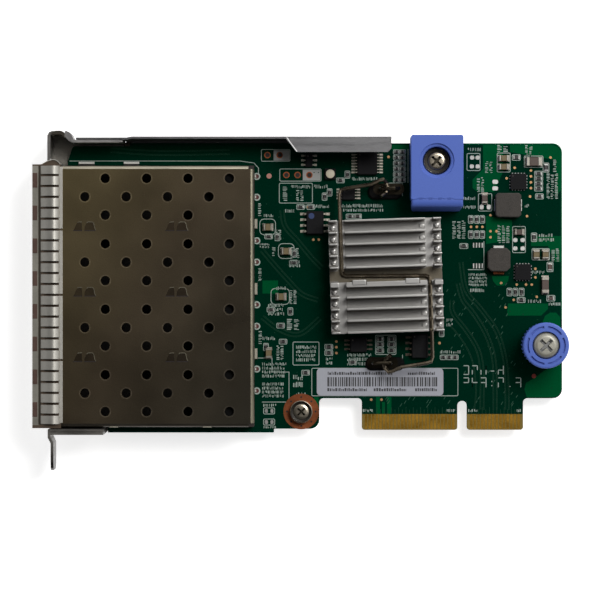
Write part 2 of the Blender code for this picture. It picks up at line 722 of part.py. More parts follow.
def collar():
    reach = SEAT + COLLAR_SHEET
    low_y, high_y = CAGE_LOW_Y - reach, CAGE_HIGH_Y + reach
    low_z, high_z = CAGE_UNDER - reach, CAGE_TOP + reach
    sheet = COLLAR_SHEET
    lip_rear = COLLAR_FRONT + COLLAR_LIP_LONG
    boxes = [
        (COLLAR_FRONT, COLLAR_REAR, low_y, high_y, high_z - sheet, high_z),
        (COLLAR_FRONT, COLLAR_REAR, low_y, high_y, low_z, low_z + sheet),
        (COLLAR_FRONT, COLLAR_REAR, low_y, low_y + sheet, low_z, high_z),
        (COLLAR_FRONT, COLLAR_REAR, high_y - sheet, high_y, low_z, high_z),
    ]
    for number in range(PORTS):
        y = port_centre(number)
        spans = (
            (y - PORT_PITCH / 2 + 0.1, y - LIP_GAP_OFFSET - LIP_GAP_WIDE / 2),
            (y - LIP_GAP_OFFSET + LIP_GAP_WIDE / 2, y + LIP_GAP_OFFSET - LIP_GAP_WIDE / 2),
            (y + LIP_GAP_OFFSET + LIP_GAP_WIDE / 2, y + PORT_PITCH / 2 - 0.1),
        )
        for start, end in spans:
            boxes.append((COLLAR_FRONT, lip_rear, start, end, high_z - sheet, high_z + COLLAR_LIP_RISE))
            boxes.append((COLLAR_FRONT, lip_rear, start, end, low_z - COLLAR_LIP_RISE, low_z + sheet))
    made = fused_boxes("spring_collar", boxes, "collar_steel")
    fingers = []
    pitch = (CAGE_HIGH_Y - CAGE_LOW_Y) / FINGER_COUNT
    for i in range(FINGER_COUNT):
        start = CAGE_LOW_Y + i * pitch + FINGER_SLOT / 2
        end = start + pitch - FINGER_SLOT
        above = [(x, high_z - sheet / 2 + height) for x, height in finger_profile(FINGER_STEPS)]
        below = [(x, low_z + sheet / 2 - height) for x, height in finger_profile(FINGER_BELOW_STEPS)]
        fingers.append(extrude("finger", above, start, end, "collar_steel", axis="Y"))
        fingers.append(extrude("finger", below, start, end, "collar_steel", axis="Y"))
    pitch = (CAGE_TOP - CAGE_UNDER) / SIDE_FINGERS
    for i in range(SIDE_FINGERS):
        start = CAGE_UNDER + i * pitch + FINGER_SLOT / 2
        end = start + pitch - FINGER_SLOT
        shape = [(x, high_y - sheet / 2 + height) for x, height in finger_profile(FINGER_STEPS)]
        fingers.append(extrude("finger", shape, start, end, "collar_steel"))
    add(made, joined("fingers", fingers, "collar_steel"))


def port_connectors():
    for number in range(PORTS):
        y = port_centre(number)
        low = CONNECTOR_SLOT_Z - CONNECTOR_SLOT_HIGH / 2
        high = CONNECTOR_SLOT_Z + CONNECTOR_SLOT_HIGH / 2
        nose_rear = CONNECTOR_FRONT + CONNECTOR_SLOT_DEEP
        half = CONNECTOR_HALF
        side = CONNECTOR_SLOT_HALF
        nose_low, nose_high = low - CONNECTOR_NOSE, high + CONNECTOR_NOSE
        boxes = [
            (nose_rear, CONNECTOR_REAR, y - half, y + half, ON_BOARD, CONNECTOR_TOP),
            (CONNECTOR_FRONT, nose_rear, y - half, y + half, nose_low, low),
            (CONNECTOR_FRONT, nose_rear, y - half, y + half, high, nose_high),
            (CONNECTOR_FRONT, nose_rear, y - half, y - side, nose_low, nose_high),
            (CONNECTOR_FRONT, nose_rear, y + side, y + half, nose_low, nose_high),
        ]
        fused_boxes(f"port_connector_{number + 1}", boxes, "connector_black")


def bracket():
    floor_top = BELOW_BOARD
    floor_under = floor_top - FLOOR_THICK
    base = floor_top - FLOOR_THICK / 2
    middle = PLATE_OUTER + SHEET / 2
    curve_end = PLATE_OUTER + CORNER_RUN + CORNER_BLEND
    outline = [
        (PLATE_OUTER, LOWER_WALL_OUTER),
        (LOWER_WALL_END, LOWER_WALL_OUTER),
        (FLOOR_REAR, FLOOR_CUT_Y),
        (FLOOR_REAR, UPPER_WALL_Y + SHEET / 4),
        (curve_end, UPPER_WALL_Y + SHEET / 4),
        (PLATE_OUTER + CORNER_RUN, CORNER_Y - SHEET / 2),
        (PLATE_OUTER, CORNER_Y - SHEET / 2),
    ]
    made = extrude("faceplate_bracket", outline, floor_under, floor_top, "bracket_steel")
    corner_y = CORNER_Y - SHEET / 2
    path = [
        (middle, WINDOW_UPPER_Y, base, WALL_TOP),
        (middle, corner_y - 0.7, base, WALL_TOP),
        (middle + 0.2, corner_y - 0.2, base, WALL_TOP),
        (middle + 0.7, corner_y, base, WALL_TOP),
        (PLATE_OUTER + CORNER_RUN - 0.9, corner_y, base, WALL_TOP),
        (PLATE_OUTER + CORNER_RUN, corner_y - 0.45, base, WALL_TOP),
        (curve_end - 1.1, UPPER_WALL_Y + 0.3, base, WALL_TOP),
        (curve_end, UPPER_WALL_Y, base, WALL_TOP),
        (FLOOR_REAR - WALL_END_DROP / 2, UPPER_WALL_Y, base, WALL_TOP),
        (FLOOR_REAR, UPPER_WALL_Y, base, WALL_TOP - WALL_END_DROP),
    ]
    add(made, standing_sheet("upper_wall", path, SHEET, "bracket_steel"))
    seam_low, seam_high = HEM_SEAM_Y - HEM_SEAM_WIDE / 2, HEM_SEAM_Y + HEM_SEAM_WIDE / 2
    start, end = PLATE_OUTER + SHEET / 2, LOWER_WALL_END
    seam_floor = WALL_TOP - HEM_SEAM_DEEP
    wall = [
        (start, end, LOWER_WALL_OUTER, LOWER_WALL_INNER, base, seam_floor),
        (start, end, LOWER_WALL_OUTER, seam_low, seam_floor, WALL_TOP),
        (start, end - 0.5, seam_high, LOWER_WALL_INNER, seam_floor, WALL_TOP),
    ]
    add(made, fused_boxes("lower_wall", wall, "bracket_steel"))
    ear = middle + EAR_JOG
    path = [
        (middle, LOWER_WALL_INNER - 0.1, base, WALL_TOP - 0.05),
        (middle, EAR_JOG_START, base, WALL_TOP - 0.05),
        (ear, EAR_JOG_END, EAR_LOW_Z, WALL_TOP - 0.05),
        (ear, EAR_END + EAR_ROUND, EAR_LOW_Z, WALL_TOP - 0.05),
        (ear, EAR_END + EAR_ROUND * 0.3, EAR_LOW_Z + EAR_ROUND * 0.3, WALL_TOP - EAR_ROUND * 0.3),
        (ear, EAR_END, EAR_LOW_Z + EAR_ROUND, WALL_TOP - EAR_ROUND),
    ]
    add(made, standing_sheet("ear", path, SHEET, "bracket_steel"))


def side_rail():
    base = BELOW_BOARD - FLOOR_THICK
    path = [
        (RAIL_START, RAIL_INNER_Y, base, WALL_TOP),
        (RAIL_JOG_START, RAIL_INNER_Y, base, WALL_TOP),
        (RAIL_JOG_END, RAIL_OUTER_Y, base, WALL_TOP),
        (RAIL_END, RAIL_OUTER_Y, base, WALL_TOP),
    ]
    made = standing_sheet("side_rail", path, RAIL_THICK, "rail_steel")
    inner = RAIL_OUTER_Y + RAIL_THICK / 4 - FLANGE_DEEP
    outline = [
        (FLANGE_START, RAIL_OUTER_Y + RAIL_THICK / 4),
        (FLANGE_START + FLANGE_SLANT, inner),
        (RAIL_END - FLANGE_CORNER, inner),
        (RAIL_END - 0.02, inner + FLANGE_CORNER),
        (RAIL_END - 0.02, RAIL_OUTER_Y + RAIL_THICK / 4),
    ]
    low, high = WALL_TOP - RAIL_THICK * 1.1, WALL_TOP - RAIL_THICK * 0.1
    add(made, extrude("flange", outline, low, high, "rail_steel"))
    lip = [
        (RAIL_LIP_START, RAIL_END, BOARD_UPPER - RAIL_LIP_REACH, RAIL_INNER_Y, base, BELOW_BOARD),
        (RAIL_JOG_END, RAIL_END, BOARD_UPPER - RAIL_LIP_REACH, RAIL_OUTER_Y, base, BELOW_BOARD),
    ]
    add(made, fused_boxes("lip", lip, "rail_steel"))


def heatsink():
    chip_top = ON_BOARD + CHIP_THICK
    half = CHIP_SIDE / 2
    fused_boxes(
        "network_controller",
        [(SINK_X - half, SINK_X + half, SINK_Y - half, SINK_Y + half, ON_BOARD, chip_top)],
        "chip_black",
    )
    pad_low = chip_top + SEAT
    pad_top = pad_low + THERMAL_PAD_THICK
    pad = half - 1.5
    fused_boxes(
        "thermal_pad",
        [(SINK_X - pad, SINK_X + pad, SINK_Y - pad, SINK_Y + pad, pad_low, pad_top)],
        "thermal_grey",
    )
    base_low = pad_top + SEAT
    base_top = base_low + SINK_BASE_THICK
    wide, deep = SINK_WIDE / 2, SINK_DEEP / 2
    boxes = [(SINK_X - wide, SINK_X + wide, SINK_Y - deep, SINK_Y + deep, base_low, base_top)]
    inner = SIDE_CHANNEL_AT - SIDE_CHANNEL_WIDE / 2
    outer = SIDE_CHANNEL_AT + SIDE_CHANNEL_WIDE / 2
    columns = ((-wide, -outer), (-inner, inner), (outer, wide))
    for i in range(FINS_PER_BLOCK):
        reach = CHANNEL_HALF + i * FIN_PITCH
        thick = FIN_THICK * (1.6 if i == 0 else 1.0)
        for low, high in ((reach, reach + thick), (-reach - thick, -reach)):
            for start, end in columns:
                boxes.append((SINK_X + start, SINK_X + end, SINK_Y + low, SINK_Y + high, base_top, SINK_TOP))
    turn(fused_boxes("heatsink", boxes, "sink_aluminium"), SINK_X, SINK_Y, SINK_TURN)
    clip(base_top + SEAT + CLIP_RADIUS)


def clip(level):
    bar = level - CLIP_HOOK_DROP
    under = bar - ANCHOR_RADIUS - CLIP_RADIUS - SEAT
    channel = SIDE_CHANNEL_AT
    out = CLIP_OUT
    half = [
        (ANCHOR_AT - 1.9, out - 1.7, bar),
        (ANCHOR_AT - 0.8, out - 0.9, under + 0.1),
        (ANCHOR_AT - 0.35, out, under),
        (ANCHOR_AT - 0.6, out + 1.2, under + 0.1),
        (ANCHOR_AT - 1.3, out + 2.0, bar - 0.3),
        (ANCHOR_AT - 2.2, out + 1.8, bar),
        (ANCHOR_AT - 4.0, out + 1.0, level - 0.4),
        (-channel + 1.4, out + 0.25, level),
        (-channel + 0.35, out - 0.05, level),
        (-channel, out - 1.0, level),
        (-channel, 1.2, level),
        (-channel + 0.25, 0.5, level),
        (-channel + 1.0, 0.2, level),
    ]
    other = [(-u, -v, z) for u, v, z in reversed(half)]
    path = [(SINK_X + u, SINK_Y + v, z) for u, v, z in half + other]
    turn(tube("heatsink_clip", path, CLIP_RADIUS, "clip_steel"), SINK_X, SINK_Y, SINK_TURN)
    for name, side in (("clip_anchor_upper", 1), ("clip_anchor_lower", -1)):
        half_bar, bend = ANCHOR_HALF, ANCHOR_BEND
        staple = [
            (-half_bar, ON_BOARD),
            (-half_bar, bar - bend),
            (-half_bar + bend * 0.3, bar - bend * 0.3),
            (-half_bar + bend, bar),
            (half_bar - bend, bar),
            (half_bar - bend * 0.3, bar - bend * 0.3),
            (half_bar, bar - bend),
            (half_bar, ON_BOARD),
        ]
        path = [(SINK_X + side * (ANCHOR_AT + u), SINK_Y + side * out, z) for u, z in staple]
        anchor = tube(name, path, ANCHOR_RADIUS, "clip_steel", sides=6)
        x, y = SINK_X + side * (ANCHOR_AT - ANCHOR_BASE_SHIFT), SINK_Y + side * out
        half_long, half_wide = ANCHOR_BASE_LONG / 2, ANCHOR_BASE_WIDE / 2
        outline = rounded(
            [
                (x - half_long, y - half_wide, ANCHOR_BASE_ROUND),
                (x + half_long, y - half_wide, ANCHOR_BASE_ROUND),
                (x + half_long, y + half_wide, ANCHOR_BASE_ROUND),
                (x - half_long, y + half_wide, ANCHOR_BASE_ROUND),
            ],
            3,
        )
        add(anchor, extrude("base", outline, ON_BOARD, ON_BOARD + ANCHOR_BASE_HIGH, "chip_black"))
        turn(anchor, SINK_X, SINK_Y, SINK_TURN)


def cross_cutter(name, x, y, top, long, wide, deep):
    boxes = [
        (x - long, x + long, y - wide / 2, y + wide / 2, top - deep, top + 1),
        (x - wide / 2, x + wide / 2, y - long, y + long, top - deep, top + 1),
    ]
    return turn(fused_boxes(name, boxes, "screw_steel"), x, y, 45)


def pan_screw(name, x, y, seat, head, thick, shank, end):
    """A pan-head screw whose head rests at height seat."""
    top = seat + thick
    profile = [
        (0, top),
        (head * 0.6, top - thick * 0.06),
        (head * 0.92, top - thick * 0.35),
        (head, top - thick * 0.75),
        (head, seat),
        (shank, seat),
        (shank, end),
        (0, end),
    ]
    made = lathe(name, profile, x, y, "screw_steel", sides=16)
    cut(made, cross_cutter(name + "_cross", x, y, top, CROSS_LONG, CROSS_WIDE, CROSS_DEEP))
    return made


def touch_point():
    span = (TOUCH_RIGHT - TOUCH_LEFT - 2 * TOUCH_CORNER) / SCALLOPS
    lower = []
    for i in range(SCALLOPS):
        start = TOUCH_RIGHT - TOUCH_CORNER - i * span
        lower += [
            (start, TOUCH_LOWER),
            (start - span * 0.2, TOUCH_LOWER + SCALLOP_DEEP * 0.7),
            (start - span * 0.5, TOUCH_LOWER + SCALLOP_DEEP),
            (start - span * 0.8, TOUCH_LOWER + SCALLOP_DEEP * 0.7),
        ]
    outline = [
        (TOUCH_LEFT, TOUCH_LOWER),
        (TOUCH_LEFT, TOUCH_UPPER - TOUCH_CORNER),
        (TOUCH_LEFT + TOUCH_CORNER * 0.3, TOUCH_UPPER - TOUCH_CORNER * 0.3),
        (TOUCH_LEFT + TOUCH_CORNER, TOUCH_UPPER),
        (TOUCH_RIGHT - TOUCH_CORNER, TOUCH_UPPER),
        (TOUCH_RIGHT - TOUCH_CORNER * 0.3, TOUCH_UPPER - TOUCH_CORNER * 0.3),
        (TOUCH_RIGHT, TOUCH_UPPER - TOUCH_CORNER),
        (TOUCH_RIGHT, TOUCH_LOWER),
        *lower,
        (TOUCH_LEFT + TOUCH_CORNER, TOUCH_LOWER),
    ]
    block = extrude("touch_point", outline, ON_BOARD, TOUCH_TOP, "touch_blue")
    ledge = [
        (
            TOUCH_LEFT + 0.05,
            TOUCH_RIGHT - 0.05,
            TOUCH_LEDGE,
            TOUCH_LOWER + TOUCH_CORNER,
            ON_BOARD + 0.05,
            TOUCH_LEDGE_TOP,
        )
    ]
    add(block, fused_boxes("ledge", ledge, "touch_blue"))
    recess = [
        (0, ON_BOARD - 1),
        (SCREW_SHANK + 0.3, ON_BOARD - 1),
        (SCREW_SHANK + 0.3, TOUCH_SEAT_Z),
        (TOUCH_RECESS, TOUCH_SEAT_Z),
        (TOUCH_RECESS, TOUCH_TOP - TOUCH_RING_DEEP),
        (TOUCH_RING, TOUCH_TOP - TOUCH_RING_DEEP),
        (TOUCH_RING, TOUCH_TOP + 1),
        (0, TOUCH_TOP + 1),
    ]
    cut(block, lathe("recess", recess, TOUCH_X, TOUCH_Y, "touch_blue", sides=20))
    seat = TOUCH_SEAT_Z + SEAT
    pan_screw("touch_point_screw", TOUCH_X, TOUCH_Y, seat, SCREW_HEAD, SCREW_HEAD_THICK, SCREW_SHANK, SCREW_END)
    across = NUT_FLATS / math.sqrt(3)
    hole = circle(TOUCH_X, TOUCH_Y, SCREW_SHANK + SEAT, 16)
    outline = circle(TOUCH_X, TOUCH_Y, across, 6)
    extrude("touch_point_nut", outline, BELOW_BOARD - NUT_THICK, BELOW_BOARD, "screw_steel", [hole])


def pad_screw():
    seat = ON_BOARD
    end = BELOW_BOARD - SPACER_THICK - 0.3
    pan_screw("pad_screw", PAD_SCREW_X, PAD_SCREW_Y, seat, PAD_HEAD, PAD_HEAD_THICK, SCREW_SHANK, end)
    ring = circle(PAD_SCREW_X, PAD_SCREW_Y, SPACER_RADIUS, 16)
    bore = circle(PAD_SCREW_X, PAD_SCREW_Y, SCREW_SHANK + SEAT, 16)
    extrude("pad_screw_spacer", ring, BELOW_BOARD - SPACER_THICK, BELOW_BOARD, "screw_steel", [bore])


def arc_pocket(number):
    middle = 360 / GROOVE_ARCS * number
    angles = [math.radians(middle + GROOVE_SPAN * (step / GROOVE_STEPS - 0.5)) for step in range(GROOVE_STEPS + 1)]
    outer = [(THUMB_X + GROOVE_OUTER * math.cos(a), THUMB_Y + GROOVE_OUTER * math.sin(a)) for a in angles]
    inner = [(THUMB_X + GROOVE_INNER * math.cos(a), THUMB_Y + GROOVE_INNER * math.sin(a)) for a in angles]
    return extrude("arc", outer + inner[::-1], KNOB_TOP - GROOVE_DEEP, KNOB_TOP + 1, "touch_blue")


def thumbscrew():
    outline = []
    for i in range(2 * KNOB_RIBS):
        angle = math.pi * i / KNOB_RIBS
        radius = KNOB_RADIUS - KNOB_RIB_INSET - (KNOB_RIB_DEEP if i % 2 else 0)
        outline.append((THUMB_X + radius * math.cos(angle), THUMB_Y + radius * math.sin(angle)))
    rim_low = KNOB_TOP - KNOB_RIM_HIGH
    knob = extrude("thumbscrew_knob", outline, KNOB_LOWER, rim_low + SEAT, "touch_blue")
    rim = [
        (0, rim_low),
        (KNOB_RADIUS, rim_low),
        (KNOB_RADIUS, KNOB_TOP - KNOB_RIM_EASE),
        (KNOB_RADIUS - KNOB_RIM_EASE, KNOB_TOP),
        (0, KNOB_TOP),
    ]
    add(knob, lathe("rim", rim, THUMB_X, THUMB_Y, "touch_blue"))
    seat = KNOB_TOP - KNOB_RECESS_DEEP
    bore = [
        (0, KNOB_LOWER - 1),
        (KNOB_CAVITY, KNOB_LOWER - 1),
        (KNOB_CAVITY, KNOB_CAVITY_TOP),
        (KNOB_BORE, KNOB_CAVITY_TOP),
        (KNOB_BORE, seat),
        (KNOB_RECESS, seat),
        (KNOB_RECESS, KNOB_TOP + 1),
        (0, KNOB_TOP + 1),
    ]
    cut(knob, lathe("knob_bore", bore, THUMB_X, THUMB_Y, "touch_blue", sides=20))
    cut(knob, joined("grooves", [arc_pocket(i) for i in range(GROOVE_ARCS)], "touch_blue"))
    thick = KNOB_RECESS_DEEP + HEAD_RISE
    pan_screw("thumbscrew_screw", THUMB_X, THUMB_Y, seat + SEAT, THUMB_HEAD, thick, THUMB_SHANK, THUMB_END)
    washer_top = KNOB_CAVITY_TOP - SEAT
    washer_low = washer_top - WASHER_THICK
    ring = circle(THUMB_X, THUMB_Y, WASHER_RADIUS, 16)
    hole = circle(THUMB_X, THUMB_Y, KNOB_BORE, 16)
    extrude("thumbscrew_washer", ring, washer_low, washer_top, "screw_steel", [hole])
    flange_top = ON_BOARD + SLEEVE_FLANGE_THICK
    sleeve = [
        (SLEEVE_BORE, SLEEVE_UNDER),
        (SLEEVE_BARREL, SLEEVE_UNDER),
        (SLEEVE_BARREL, ON_BOARD),
        (SLEEVE_FLANGE, ON_BOARD),
        (SLEEVE_FLANGE, flange_top),
        (SLEEVE_BARREL, flange_top),
        (SLEEVE_BARREL, SLEEVE_TOP),
        (SLEEVE_BORE, SLEEVE_TOP),
    ]
    lathe("thumbscrew_sleeve", sleeve, THUMB_X, THUMB_Y, "screw_steel", sides=16)
    low = flange_top + SEAT + SPRING_WIRE
    high = washer_low - SEAT - SPRING_WIRE
    steps = SPRING_TURNS * SPRING_STEPS
    path = []
    for step in range(steps + 1):
        angle = 2 * math.pi * step / SPRING_STEPS
        path.append(
            (
                THUMB_X + SPRING_RADIUS * math.cos(angle),
                THUMB_Y + SPRING_RADIUS * math.sin(angle),
                low + (high - low) * step / steps,
            )
        )
    tube("thumbscrew_spring", path, SPRING_WIRE, "clip_steel", sides=5)


def leaded_chip(name, x, y, wide, deep, high, leads, pitch, reach):
    """A moulded body with bent leads along its left and right sides."""
    body_low = ON_BOARD + LEAD_THICK / 2
    box = (x - wide / 2, x + wide / 2, y - deep / 2, y + deep / 2, body_low, ON_BOARD + high)
    chip = fused_boxes(name, [box], "chip_black")
    shoulder = ON_BOARD + high * LEAD_SHOULDER_SHARE
    legs = []
    for side in (-1, 1):
        edge = x + side * wide / 2
        knee = edge + side * reach * (1 - LEAD_FOOT_SHARE)
        toe = edge + side * reach
        bend = [
            (edge - side * LEAD_ROOT, shoulder - LEAD_THICK),
            (edge - side * LEAD_ROOT, shoulder),
            (knee, shoulder),
            (toe, ON_BOARD + LEAD_THICK),
            (toe, ON_BOARD),
            (knee, ON_BOARD),
        ]
        for i in range(leads):
            middle = y + (i - (leads - 1) / 2) * pitch
            half = pitch * LEAD_WIDE_SHARE / 2
            legs.append(extrude("leg", bend, middle - half, middle + half, "chip_black", axis="Y"))
    add(chip, joined("legs", legs, "chip_black"))


def electronics():
    for chip in CHIPS:
        leaded_chip(*chip)
    for name, x, y, wide, deep, high in CONVERTERS:
        box = (x - wide / 2, x + wide / 2, y - deep / 2, y + deep / 2, ON_BOARD, ON_BOARD + high)
        fused_boxes(name, [box], "chip_black")
    for name, x, y, wide, deep, high in INDUCTORS:
        left, right, low, top = x - wide / 2, x + wide / 2, y - deep / 2, y + deep / 2
        cut_corner = INDUCTOR_CHAMFER
        outline = [
            (left + cut_corner, low),
            (right - cut_corner, low),
            (right, low + cut_corner),
            (right, top - cut_corner),
            (right - cut_corner, top),
            (left + cut_corner, top),
            (left, top - cut_corner),
            (left, low + cut_corner),
        ]
        extrude(name, outline, ON_BOARD, ON_BOARD + high, "ferrite_grey")
    for name, x, y, wide, deep, high in CAPACITORS:
        box = (x - wide / 2, x + wide / 2, y - deep / 2, y + deep / 2, ON_BOARD, ON_BOARD + high)
        fused_boxes(name, [box], "capacitor_tan")
    half = SWITCH_SIDE / 2
    base_top = ON_BOARD + SWITCH_BASE
    switch = fused_boxes(
        "status_switch",
        [(SWITCH_X - half, SWITCH_X + half, SWITCH_Y - half, SWITCH_Y + half, ON_BOARD, base_top)],
        "chip_black",
    )
    dome = [
        (0, base_top + SWITCH_DOME_RISE),
        (SWITCH_DOME * 0.6, base_top + SWITCH_DOME_RISE * 0.8),
        (SWITCH_DOME, base_top),
        (SWITCH_DOME, base_top - 0.3),
        (0, base_top - 0.3),
    ]
    add(switch, lathe("dome", dome, SWITCH_X, SWITCH_Y, "screw_steel", sides=16))


def label():
    corners = [
        (LABEL_LEFT, LABEL_LOWER, LABEL_CORNER),
        (LABEL_RIGHT, LABEL_LOWER, LABEL_CORNER),
        (LABEL_RIGHT, LABEL_UPPER, LABEL_CORNER),
        (LABEL_LEFT, LABEL_UPPER, LABEL_CORNER),
    ]
    low = BOARD_TOP + SEAT / 2
    extrude("label", rounded(corners, 3), low, low + LABEL_THICK, "label_white")


for leftover in list(bpy.data.objects):
    bpy.data.objects.remove(leftover, do_unlink=True)

circuit_board()
cage()
collar()
port_connectors()
bracket()
side_rail()
heatsink()
touch_point()
pad_screw()
thumbscrew()
electronics()
label()
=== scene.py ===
"""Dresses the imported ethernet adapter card: board detail, cage, heatsink, blue parts, lights and camera."""

import math
import random

import bmesh
import bpy
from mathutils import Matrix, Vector
from mathutils.geometry import delaunay_2d_cdt


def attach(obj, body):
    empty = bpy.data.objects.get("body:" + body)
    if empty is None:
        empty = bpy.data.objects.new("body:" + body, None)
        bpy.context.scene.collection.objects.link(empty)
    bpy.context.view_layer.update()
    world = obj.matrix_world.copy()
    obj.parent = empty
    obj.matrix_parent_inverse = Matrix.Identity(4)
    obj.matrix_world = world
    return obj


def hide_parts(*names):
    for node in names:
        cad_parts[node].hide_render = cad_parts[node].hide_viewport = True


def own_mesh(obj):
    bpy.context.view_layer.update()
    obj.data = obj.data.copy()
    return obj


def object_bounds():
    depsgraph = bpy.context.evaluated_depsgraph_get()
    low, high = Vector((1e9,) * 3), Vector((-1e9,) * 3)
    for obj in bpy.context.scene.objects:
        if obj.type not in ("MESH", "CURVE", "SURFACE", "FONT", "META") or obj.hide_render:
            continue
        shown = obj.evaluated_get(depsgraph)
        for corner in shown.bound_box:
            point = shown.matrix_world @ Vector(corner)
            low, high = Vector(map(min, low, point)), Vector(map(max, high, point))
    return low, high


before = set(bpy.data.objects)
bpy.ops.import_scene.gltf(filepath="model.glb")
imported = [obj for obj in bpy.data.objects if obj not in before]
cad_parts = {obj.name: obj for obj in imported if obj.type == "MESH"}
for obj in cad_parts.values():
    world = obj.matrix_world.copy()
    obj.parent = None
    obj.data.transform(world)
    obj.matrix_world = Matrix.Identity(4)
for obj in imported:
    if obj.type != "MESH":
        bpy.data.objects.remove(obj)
cad_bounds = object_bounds()

MM = 0.001
BOARD_TOP = 0.8
BOARD_UNDER = -0.8
PART_LOW = 0.9  # pieces rest on the board at this height

# View: straight down, with the photograph's frame of 600 pixels across VIEW_WIDE at the board's top
VIEW_X, VIEW_Y = -24.12, 28.57
VIEW_HIGH = 850.0
VIEW_WIDE = 132.04
SENSOR = 36.0
SCALE = 4.544  # the photograph's pixels a millimetre at the board's top
ZERO_X, ZERO_Y = 409.6, 429.8  # the pixel that shows the board's origin
PHOTO_MIDDLE = 300

camera_data = bpy.data.cameras.new("camera")
camera_data.sensor_width = SENSOR
camera_data.lens = SENSOR * VIEW_HIGH / VIEW_WIDE
camera = bpy.data.objects.new("camera", camera_data)
camera.location = (VIEW_X * MM, VIEW_Y * MM, (VIEW_HIGH + BOARD_TOP) * MM)
bpy.context.scene.collection.objects.link(camera)
bpy.context.scene.camera = camera
bpy.context.scene.view_settings.view_transform = "Standard"

chance = random.Random(5)


def spot(x, y):
    """The board point, in millimetres, that shows at a pixel of the photograph."""
    return (x - ZERO_X) / SCALE, (ZERO_Y - y) / SCALE


# Materials

GRAIN_SHARE = 0.6
NOISE_DETAIL = 5.0
TINT_BAND = (0.15, 0.7)
ROUGH_BAND = (0.3, 0.7)
LEAST_ROUGH = 0.02
RELIEF_DEEP = 0.00005


def set_inputs(node, values):
    for name, value in values.items():
        node.inputs[name].default_value = value


def math_node(nodes, kind, operation, second=None):
    """A Math or VectorMath node with its operation and, where given, its second value."""
    made = nodes.new("ShaderNode" + kind)
    made.operation = operation
    if second is not None:
        made.inputs[1].default_value = second
    return made


def scaled(colour, share):
    return tuple(min(1.0, channel * share) for channel in colour) + (1.0,)


def faded(nodes, links, fade, ramp):
    """The ramp's colour times a colour that runs from fade's first point to its second."""
    (x0, y0), (x1, y1), stops = fade
    run = Vector(((x1 - x0) * MM, (y1 - y0) * MM, 0.0))
    shift = math_node(nodes, "VectorMath", "SUBTRACT", (x0 * MM, y0 * MM, 0.0))
    links.new(nodes.new("ShaderNodeNewGeometry").outputs["Position"], shift.inputs[0])
    share = math_node(nodes, "VectorMath", "DOT_PRODUCT", run / run.length_squared)
    links.new(shift.outputs["Vector"], share.inputs[0])
    tone = nodes.new("ShaderNodeValToRGB")
    for element, stop in zip(tone.color_ramp.elements, (stops[0], stops[-1])):
        element.color = (*stop, 1.0)
    for i, stop in enumerate(stops[1:-1], 1):
        tone.color_ramp.elements.new(i / (len(stops) - 1)).color = (*stop, 1.0)
    links.new(share.outputs["Value"], tone.inputs["Fac"])
    blend = math_node(nodes, "VectorMath", "MULTIPLY")
    links.new(ramp.outputs["Color"], blend.inputs[0])
    links.new(tone.outputs["Color"], blend.inputs[1])
    return blend.outputs["Vector"]


def new_material():
    """A material with nodes: itself, its nodes, its links and its shader."""
    made = bpy.data.materials.new("finish")
    made.use_nodes = True
    tree = made.node_tree
    return made, tree.nodes, tree.links, tree.nodes["Principled BSDF"]


def finish(colour, rough=0.5, metal=0.0, tint=0.2, grain=2500.0, patch=120.0, bump=0.2,
           stretch=(1, 1, 1), spread=0.08, specular=0.5, fade=None):
    """A procedural material: colour broken up at two scales, uneven roughness and a fine relief."""
    made, nodes, links, shader = new_material()
    set_inputs(shader, {"Metallic": metal, "Specular IOR Level": specular})
    coordinates = nodes.new("ShaderNodeTexCoord")
    mapping = nodes.new("ShaderNodeMapping")
    set_inputs(mapping, {"Scale": stretch})
    links.new(coordinates.outputs["Object"], mapping.inputs["Vector"])
    noises = []
    for size in (grain, patch):
        noise = nodes.new("ShaderNodeTexNoise")
        set_inputs(noise, {"Scale": size, "Detail": NOISE_DETAIL})
        links.new(mapping.outputs["Vector"], noise.inputs["Vector"])
        noises.append(noise.outputs["Fac"])
    blend = math_node(nodes, "Math", "MULTIPLY_ADD", GRAIN_SHARE)
    links.new(noises[0], blend.inputs[0])
    patches = math_node(nodes, "Math", "MULTIPLY", 1 - GRAIN_SHARE)
    links.new(noises[1], patches.inputs[0])
    links.new(patches.outputs[0], blend.inputs[2])
    ramp = nodes.new("ShaderNodeValToRGB")
    for stop, position, share in zip(ramp.color_ramp.elements, TINT_BAND, (1 - tint, 1 + tint)):
        stop.position = position
        stop.color = scaled(colour, share)
    links.new(blend.outputs[0], ramp.inputs["Fac"])
    shown = faded(nodes, links, fade, ramp) if fade else ramp.outputs["Color"]
    links.new(shown, shader.inputs["Base Color"])
    dull = nodes.new("ShaderNodeMapRange")
    set_inputs(dull, {"From Min": ROUGH_BAND[0], "From Max": ROUGH_BAND[1],
                      "To Min": max(LEAST_ROUGH, rough - spread), "To Max": min(1.0, rough + spread)})
    links.new(noises[1], dull.inputs["Value"])
    links.new(dull.outputs["Result"], shader.inputs["Roughness"])
    relief = nodes.new("ShaderNodeBump")
    set_inputs(relief, {"Strength": bump, "Distance": RELIEF_DEEP})
    links.new(noises[0], relief.inputs["Height"])
    links.new(relief.outputs["Normal"], shader.inputs["Normal"])
    return made


